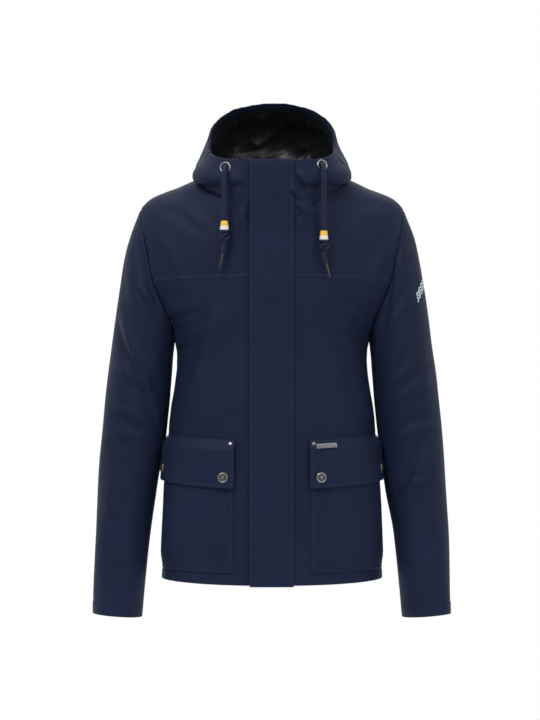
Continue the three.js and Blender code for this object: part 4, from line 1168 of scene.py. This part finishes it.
def crumple(points, seed):
    # ridged folds that lean to one side, as loose satin makes
    leaned = np.stack([points[:, 0] * 0.82 + points[:, 2] * 0.57, points[:, 1],
                       points[:, 2] * 0.82 - points[:, 0] * 0.57], -1)
    first = 1 - np.abs(ripple(leaned, (78, 70, 34), seed)) * 2.4
    second = 1 - np.abs(ripple(leaned, (30, 34, 22), seed + 9)) * 2.2
    return np.clip(first, -0.6, 1) * 5.0 + np.clip(second, -0.5, 1) * 1.4


def hoodLiningPlace(s, t):
    s, t = np.asarray(s, float), np.asarray(t, float)
    level = mix(0.3, 4.93, t)
    start = hoodAngleAtY(hoodSettings["splitY"] + 6, level)
    angle = mix(start, 360 - start, s)
    points = hoodPoint(angle, level)
    normals = surfaceNormal(hoodPoint, angle, level)
    held = smooth((1 - t) / 0.12) * smooth(t / 0.1) * smooth(s / 0.05) * smooth((1 - s) / 0.05)
    held = held * smooth((0.95 - t) / 0.1)
    depth = hoodSettings["liningDepth"] - 1.6 * (1 - smooth((1 - t) / 0.04)) + 0.9 * smooth((0.955 - t) / 0.01)
    seam = sum(np.exp(-((np.abs(angle - a) / 1.2) ** 2)) for a in (150, 210))
    shift = -depth - np.maximum(crumple(points, 83.0) + 1.2, 0) * held * (1 - 0.8 * seam) - 0.8 * seam
    return points + normals * shift[:, None]


hoodLiningPlace.sign = 1
hoodLining = makeSheet("hoodLining", hoodLiningPlace, 200, 84, 0.7, satin, (560, 130), (0.0, 0.3))
hoodLining.data.materials.append(shellCloth)
spread = hoodLining.data.uv_layers[0].data
for face in hoodLining.data.polygons:
    # the turned-in facing behind the rim is shell cloth
    if sum(spread[k].uv.y for k in face.loop_indices) / len(face.loop_indices) > 0.955 * 0.130:
        face.material_index = 1
settle(hoodLining, "jacket", ("hood_lining",))
print("hood made")

# front closure
lineTilt = math.atan2(collarFrontY - hemFrontY, collarTopZ - hemZ)
frontLength = math.hypot(collarFrontY - hemFrontY, collarTopZ - hemZ)
flapSettings = {"free": -36.5, "sewn": 35.5, "lift": 5.6, "arch": 2.4, "thickness": 2.2}


def onFrontLine(x, y, z):
    # the closure's own frame: x across, -y outwards, z up the front line from the hem
    c, s = math.cos(lineTilt), math.sin(lineTilt)
    return np.stack([x, hemFrontY + y * c + z * s, hemZ - y * s + z * c], -1)


def flapPlace(s, t):
    s, t = np.asarray(s, float), np.asarray(t, float)
    x = mix(flapSettings["free"], flapSettings["sewn"], s)
    z = mix(-2, frontLength, t)
    bow = flapSettings["arch"] * (2 * s - 1) ** 2
    wavy = np.array([noise.noise(Vector((a / 40, b / 90, 5.0))) for a, b in zip(x, z)])
    edge = np.array([noise.noise(Vector((b / 24, 8.0, 2.0))) for b in z]) * np.exp(-s * 72 / 9)
    sewn = -0.7 * np.exp(-(((s * 72 - 66.5) / 2.2) ** 2)) - 0.35 * np.exp(-(((s * 72 - 6) / 1.6) ** 2))
    out = flapSettings["lift"] + flapSettings["thickness"] - bow + 0.8 * wavy + 0.8 * edge + sewn
    out = out - 0.8 * (np.exp(-(((z + 2) / 1.8) ** 2)) + np.exp(-(((frontLength - z) / 1.8) ** 2)))
    out = out - 3.0 * smooth((x - 20) / 15)  # the sewn side lies down on the panel
    points = onFrontLine(x, -out, z)
    facing = np.tile([0.0, -1.0, 0.0], (len(points), 1))
    return points + facing * foldShift(points, facing, flapFolds)[:, None]


flapPlace.sign = 1
flapFolds = neckFolds[:2] + [(0, -39, 24, -62, 5, 1.1, -1), (-8, -70, 20, -120, 9, 0.6, -1)]
flapBlend = ((0.0365, -0.2, -0.33), (0.020, -0.2, -0.33))
stormFlap = makeSheet("stormFlap", flapPlace, 40, 210, flapSettings["thickness"], flapCloth, (72, 702),
                      (0.6, 0.5), False, ("first", "last", "top", "bottom"))
settle(stormFlap, "storm_flap", ("storm_flap",), flapBlend)
makeStitches(
    "stormFlapStitches",
    [
        (flapPlace, [(6 / 72, 0.006), (6 / 72, 0.994), (0.5, 0.994), (66.5 / 72, 0.994)]),
        (flapPlace, [(66.5 / 72, 0.004), (66.5 / 72, 0.996)]),
        (flapPlace, [(6 / 72, 0.006), (0.5, 0.006), (66.5 / 72, 0.006)]),
    ],
    "storm_flap",
    flapBlend,
)


def stripPlace(x0, x1, y, z0, z1, seed, amount=0.3):
    def place(s, t):
        s, t = np.asarray(s, float), np.asarray(t, float)
        x, z = mix(x0, x1, s), mix(z0, z1, t)
        wavy = np.array([noise.noise(Vector((a / 14, b / 40, seed))) for a, b in zip(x, z)])
        return onFrontLine(x, y + amount * wavy, z)

    place.sign = 1
    return place


hookTape = makeSheet("flapHookTape", stripPlace(-34, -18, -2.75, 40, 500, 3.0, 0.05), 10, 120, 0.85, webbingCloth,
                     (16, 460))
settle(hookTape, "storm_flap", ("flap_hook_tape",))
loopTape = makeSheet("flapLoopTape", stripPlace(-34, -18, -1.4, 40, 500, 4.0, 0.05), 10, 120, 0.85, webbingCloth,
                     (16, 460))
settle(loopTape, "jacket", ("flap_loop_tape",))
shield = makeSheet("flyShield", stripPlace(-27, 27, 10.6, 2, frontLength - 12, 5.0, 0.35), 20, 150, 0.9,
                   bodyLiningCloth, (54, 686))
settle(shield, "jacket", ("fly_shield",))
for side in ("right", "left"):
    paint(nodes[f"{side}_zip_coil"], coilPlastic)
    sign = -1 if side == "right" else 1
    inner, outer = 4.35 * sign, 18.85 * sign
    tape = makeSheet(f"{side}ZipTape", stripPlace(min(inner, outer), max(inner, outer), 4.45, 6, frontLength - 8,
                                                  6.0 + sign, 0.04), 10, 150, 0.7, webbingCloth, (14.5, 686))
    settle(tape, "jacket", (f"{side}_zip_tape",))
for name in ("zip_slider", "zip_pull"):
    paint(nodes[name], nickel)
for name in ("right_snap_stud_front", "right_snap_stud_rear", "left_snap_stud_front", "left_snap_stud_rear"):
    paint(nodes[name], nickel)
print("closure made")

# pockets
pocketSettings = {
    "frontX": 63, "rearAngle": 78.5, "bottomZ": -662, "mouthZ": -478, "depth": 8.6, "stand": 0.7,
    "flapTopZ": -450.5, "flapRise": 13, "flapDrop": 78, "flapSlack": 2, "flapThickness": 2, "flapRoot": 1.2,
    "overhang": 1.5, "thickness": 1.5,
}
pocketOut = pocketSettings["stand"] + pocketSettings["depth"]
flapIn = pocketOut + pocketSettings["flapSlack"]
levelTable = {z: levelAtZ(z) for z in range(-686, -280, 2)}
tableZ = np.array(sorted(levelTable))
tableLevel = np.array([levelTable[z] for z in sorted(levelTable)])


def levelOf(z):
    return np.interp(z, tableZ, tableLevel)


def pocketFolds(points, normals):
    return 1.1 * ripple(points, (46, 50, 70), 91.0)


def pocketPlaceFor(side):
    sign = -1 if side == "right" else 1
    given = pocketSettings

    def place(s, t):
        s, t = np.asarray(s, float), np.asarray(t, float)
        z = mix(given["bottomZ"], given["mouthZ"], t)
        level = levelOf(z)
        angle = mix(bodyAngleAtX(given["frontX"], level), given["rearAngle"], s)
        points = bodyPoint(angle, level)
        normals = surfaceNormal(bodyPoint, angle, level)
        points[:, 0] *= sign
        normals[:, 0] *= sign
        wide, tall = 168.0, 189.0
        edges = np.minimum(np.minimum(s * wide, (1 - s) * wide * 3), t * tall)
        rise = 0.34 * smooth(edges / 1.8) + 0.66 * smooth(edges / 34)
        crisp = -0.4 * np.exp(-(((edges - 7) / 1.6) ** 2))
        bulge = -0.6
        shift = 0.3 + (given["stand"] + given["depth"] - 0.3 + bulge + crisp + pocketFolds(points, normals) * 0.6) * rise
        return points + normals * shift[:, None]

    place.sign = sign
    return place


def pocketFlapPlaceFor(side):
    sign = -1 if side == "right" else 1
    given = pocketSettings
    corner = 7.0

    def place(s, t):
        s, t = np.asarray(s, float), np.asarray(t, float)
        wide, tall = 170.0, 78.0
        near = np.clip(corner - np.minimum(s, 1 - s) * wide, 0, corner)
        drop = (1 - t) * (1 - (corner - np.sqrt(corner**2 - near**2)) / tall)
        z = given["flapTopZ"] + given["flapRise"] * s - given["flapDrop"] * drop
        level = levelOf(z)
        start = bodyAngleAtX(given["frontX"] - given["overhang"], level)
        angle = mix(start, given["rearAngle"] + 0.5, s)
        points = bodyPoint(angle, level)
        normals = surfaceNormal(bodyPoint, angle, level)
        lift = mix(given["flapRoot"], flapIn, smooth(drop / 0.24)) + given["flapThickness"]
        lift = lift - 3.4 * np.exp(-((s * wide / 11) ** 2)) * smooth(drop / 0.3)
        points[:, 0] *= sign
        normals[:, 0] *= sign
        edges = np.minimum(np.minimum(s * wide, (1 - s) * wide), (1 - drop) * tall)
        roll = -0.7 * np.exp(-((edges / 1.8) ** 2)) - 0.45 * np.exp(-(((edges - 6.5) / 1.5) ** 2))
        wavy = 0.7 * ripple(points, (40, 40, 34), 97.0 + sign) * smooth(drop / 0.3)
        curl = 0.8 * smooth((drop - 0.8) / 0.2) * np.array([noise.noise(Vector((a * 7, 3.0, sign))) for a in s])
        return points + normals * (lift + roll + wavy + curl)[:, None]

    place.sign = sign
    return place


snapSettings = {"radius": 8.6, "height": 2.4, "spots": {"front": (0.088, 0.782), "rear": (0.915, 0.731)}}
rivetSettings = {"radius": 3.6, "spots": {"front": (0.032, 0.085), "rear": (0.962, 0.085)}}


def flapSpot(place, share, drop, lift):
    s, t = np.array([share]), np.array([1 - drop])
    e = 0.01
    origin = place(s, t)[0]
    across = Vector((place(s + e, t) - place(s - e, t))[0]) * place.sign
    up = Vector((place(s, t + e) - place(s, t - e))[0])
    x = across.normalized()
    z = x.cross(up.normalized()).normalized()
    y = z.cross(x)
    turned = Matrix((x, y, z)).transposed().to_4x4()
    return Matrix.Translation((Vector(origin) + z * lift) * 0.001) @ turned


def makeSnap(name, seat):
    r, h = snapSettings["radius"], snapSettings["height"]
    corners = [(0, 0), (r - 0.4, 0), (r, 0.5), (r, 1.2), (r - 1.3, h), (r - 2.3, h), (r - 3.0, h - 0.8), (2.6, h - 0.8), (2.0, h - 0.1), (0, h + 0.1)]
    cap = turnedPiece(name, rounded(corners, 0.5), seat, 56)
    paint(cap, nickel)
    cap.data.materials.append(darkNickel)
    inverse = seat.inverted()
    for face in cap.data.polygons:
        spot = inverse @ face.center
        if 0.0022 < math.hypot(spot.x, spot.y) < 0.0061 and spot.z > 0.0008:
            face.material_index = 1
    bm = bmesh.new()
    bm.from_mesh(cap.data)
    for k in range(12):
        a = 2 * math.pi * k / 12
        at = seat @ Matrix.Translation((0.0042 * math.cos(a), 0.0042 * math.sin(a), (h - 0.75) * 0.001))
        bmesh.ops.create_icosphere(bm, subdivisions=1, radius=0.00055, matrix=at)
    bm.to_mesh(cap.data)
    bm.free()
    return cap


def makeRivet(name, seat):
    r = rivetSettings["radius"]
    corners = [(0, 0), (r, 0), (r, 0.5), (r - 0.7, 1.4), (r - 1.5, 1.6), (r - 2.0, 1.2), (0, 1.2)]
    return paint(turnedPiece(name, rounded(corners, 0.4), seat, 32), nickel)


def pocketBlend(sign):
    top = Vector((0.1357 * sign, -0.1674, -0.4417))
    return top, top + Vector((0.050 * sign, 0.046, -0.997)) * 0.024


flapPlaces = {}
for side in ("right", "left"):
    sign = -1 if side == "right" else 1
    bag = pocketPlaceFor(side)
    pocket = makeSheet(f"{side}Pocket", bag, 96, 100, pocketSettings["thickness"], shellCloth, (168, 189),
                       (0.93, 0.9), False, ("first", "last", "bottom"))
    settle(pocket, "jacket", (f"{side}_pocket",))
    cover = pocketFlapPlaceFor(side)
    flapPlaces[side] = cover
    blended = pocketBlend(sign)
    flap = makeSheet(f"{side}PocketFlap", cover, 84, 48, pocketSettings["flapThickness"], flapCloth, (170, 78),
                     (0.6, 0.6), False, ("first", "last", "bottom"))
    settle(flap, f"{side}_pocket_flap", (f"{side}_pocket_flap",), blended)
    inset = 6.5
    makeStitches(
        f"{side}PocketStitches",
        [
            (bag, [(7 / 168, 0.99), (7 / 168, 7 / 189), (0.5, 7 / 189), (1 - 7 / 168, 7 / 189), (1 - 7 / 168, 0.99)]),
        ],
        "jacket",
    )
    makeStitches(
        f"{side}PocketFlapStitches",
        [
            (cover, [(inset / 170, 0.97), (inset / 170, inset / 78), (0.5, inset / 78), (1 - inset / 170, inset / 78), (1 - inset / 170, 0.97)]),
            (cover, [(0.02, 0.93), (0.98, 0.93)]),
        ],
        f"{side}_pocket_flap",
        blended,
    )
    for spotName, (share, drop) in snapSettings["spots"].items():
        cap = makeSnap(f"{side}Snap{spotName.capitalize()}", flapSpot(cover, share, drop, 0.25))
        settle(cap, f"{side}_pocket_flap", (f"{side}_snap_cap_{spotName}",))
    for spotName, (share, drop) in rivetSettings["spots"].items():
        cap = makeRivet(f"{side}Rivet{spotName.capitalize()}", flapSpot(cover, share, drop, 0.2))
        settle(cap, f"{side}_pocket_flap", (f"{side}_rivet_{spotName}",))
print("pockets made")

# eyelets, plate, badge, loop
eyeletSettings = {"hole": 6.3, "flange": 9.8, "height": 1.9}
plateSettings = {"long": 34, "high": 9, "thick": 1.3, "share": 0.142, "drop": 0.155}
badgeSettings = {"turn": (16, 48), "rows": 3, "span": 0.36, "strand": 0.55, "waves": 4}

for side in ("right", "left"):
    sign = -1 if side == "right" else 1
    x, level = eyeletSpots[side]
    seat = seatOn(hoodPoint, float(chinAngleAtX(x, np.array(level))), level, 0.1, sign)
    hole, flange, tall = eyeletSettings["hole"], eyeletSettings["flange"], eyeletSettings["height"]
    corners = [
        (hole, -3.6), (flange - 1.5, -3.6), (flange - 1.5, -2.6), (hole + 0.9, -2.4), (hole + 0.9, -0.2),
        (flange, 0.0), (flange, 0.9), (flange - 1.5, tall), (hole + 0.8, tall - 0.2), (hole, tall - 1.1), (hole, -3.6),
    ]
    ring = paint(turnedPiece(f"{side}Eyelet", rounded(corners, 0.6), seat, 56), nickel)
    settle(ring, "jacket", (f"{side}_eyelet",))

seat = flapSpot(flapPlaces["left"], plateSettings["share"], plateSettings["drop"], plateSettings["thick"] * 0.5 + 1.1)
bm = bmesh.new()
bmesh.ops.create_cube(bm, size=1)
bmesh.ops.scale(
    bm, vec=(plateSettings["long"] / 1000, plateSettings["high"] / 1000, plateSettings["thick"] / 1000), verts=bm.verts
)
bmesh.ops.bevel(
    bm, geom=bm.edges[:], offset=0.0004, segments=3, profile=0.5, affect="EDGES", material=-1, clamp_overlap=True
)
topFace = max(bm.faces, key=lambda face: face.calc_center_median().z * 1000 + face.calc_area())
bmesh.ops.inset_region(bm, faces=[topFace], thickness=0.0009)
inner = [topFace]
bmesh.ops.translate(bm, vec=(0, 0, -0.0003), verts=list({v for face in inner for v in face.verts}))
topFace.material_index = 1
for end in (-1, 1):
    at = Matrix.Translation((end * (plateSettings["long"] / 2 - 3) / 1000, 0, plateSettings["thick"] / 2000))
    bmesh.ops.create_uvsphere(bm, u_segments=16, v_segments=8, radius=0.0009, matrix=at)
bmesh.ops.transform(bm, matrix=seat, verts=bm.verts)
plate = addMesh("flapPlate", bm)
plate.data.shade_smooth()
plate.data.set_sharp_from_angle(angle=math.radians(35))
paint(plate, nickel)
plate.data.materials.append(darkNickel)
settle(plate, "left_pocket_flap", ("label_plate",))


def makeBadge():
    # rows of stitched waves on the wearer's left sleeve
    place = bodyPlaces["left"][2]
    bm = bmesh.new()
    given = badgeSettings
    for row in range(given["rows"]):
        count = 120
        f = np.linspace(0, 1, count)
        turn = mix(given["turn"][0], given["turn"][1], f)
        level = 1.49 + (row - 1) * 0.045 + 0.012 * np.sin(f * given["waves"] * 2 * math.pi + row * 0.6)
        s, t = turn / 360, 1 - level / 6
        points = place(s, t)
        e = 2e-3
        normals = np.cross(place(s + e, t) - place(s - e, t), place(s, t + e) - place(s, t - e)) * place.sign
        normals /= np.linalg.norm(normals, axis=1, keepdims=True)
        for k in range(count - 1):
            centre = Vector((points[k] + points[k + 1]) / 2)
            along = Vector(points[k + 1] - points[k])
            normal = Vector(normals[k])
            across = normal.cross(along).normalized()
            slant = (along.normalized() * 0.35 + across).normalized()
            side = normal.cross(slant).normalized()
            turned = Matrix((slant, side, normal)).transposed().to_4x4()
            sized = Matrix.Diagonal((0.0021, 0.00038, 0.0007, 1))
            at = Matrix.Translation((centre + normal * 0.3) * 0.001)
            bmesh.ops.create_cube(bm, size=1, matrix=at @ turned @ sized)
    piece = addMesh("sleeveBadge", bm)
    return paint(piece, badgeThread)


badge = makeBadge()
settle(badge, "left_sleeve", ("sleeve_badge",), bodyPlaces["left"][3])

loopSettings = {"halfWidth": 30, "drop": 15, "band": 5, "thickness": 1.4}


def loopPlace(s, t):
    s, t = np.asarray(s, float), np.asarray(t, float)
    given = loopSettings
    a = s * 2 - 1

    def arch(half, top):
        # the same arch as the loop's outline: down at both ends, flat on top
        u = np.abs(a)
        return np.sign(a) * half * (1 - (1 - u) ** 2), -given["drop"] + (top + given["drop"]) * (1 - u**2)

    xi, zi = arch(given["halfWidth"], 0)
    xo, zo = arch(given["halfWidth"] + given["band"], given["band"])
    return np.stack([mix(xi, xo, t), np.full_like(s, -0.7), mix(zi, zo, t)], -1)


loopPlace.sign = 1
hangLoop = makeSheet("hangLoop", loopPlace, 60, 8, loopSettings["thickness"], webbingCloth, (80, 5))
settle(hangLoop, "jacket", ("hang_loop",))
print("trims made")

# floor
bm = bmesh.new()
bmesh.ops.create_circle(bm, cap_ends=True, radius=floorSettings["radius"], segments=128)
floor = addMesh("floor", bm)
floor.location = (0, -0.08, floorSettings["height"])
floorPaint, floorTree, floorShader = startMaterial("floorPaint", (0.93, 0.93, 0.93), 0.9)
paint(floor, floorPaint)

print("scene ready")
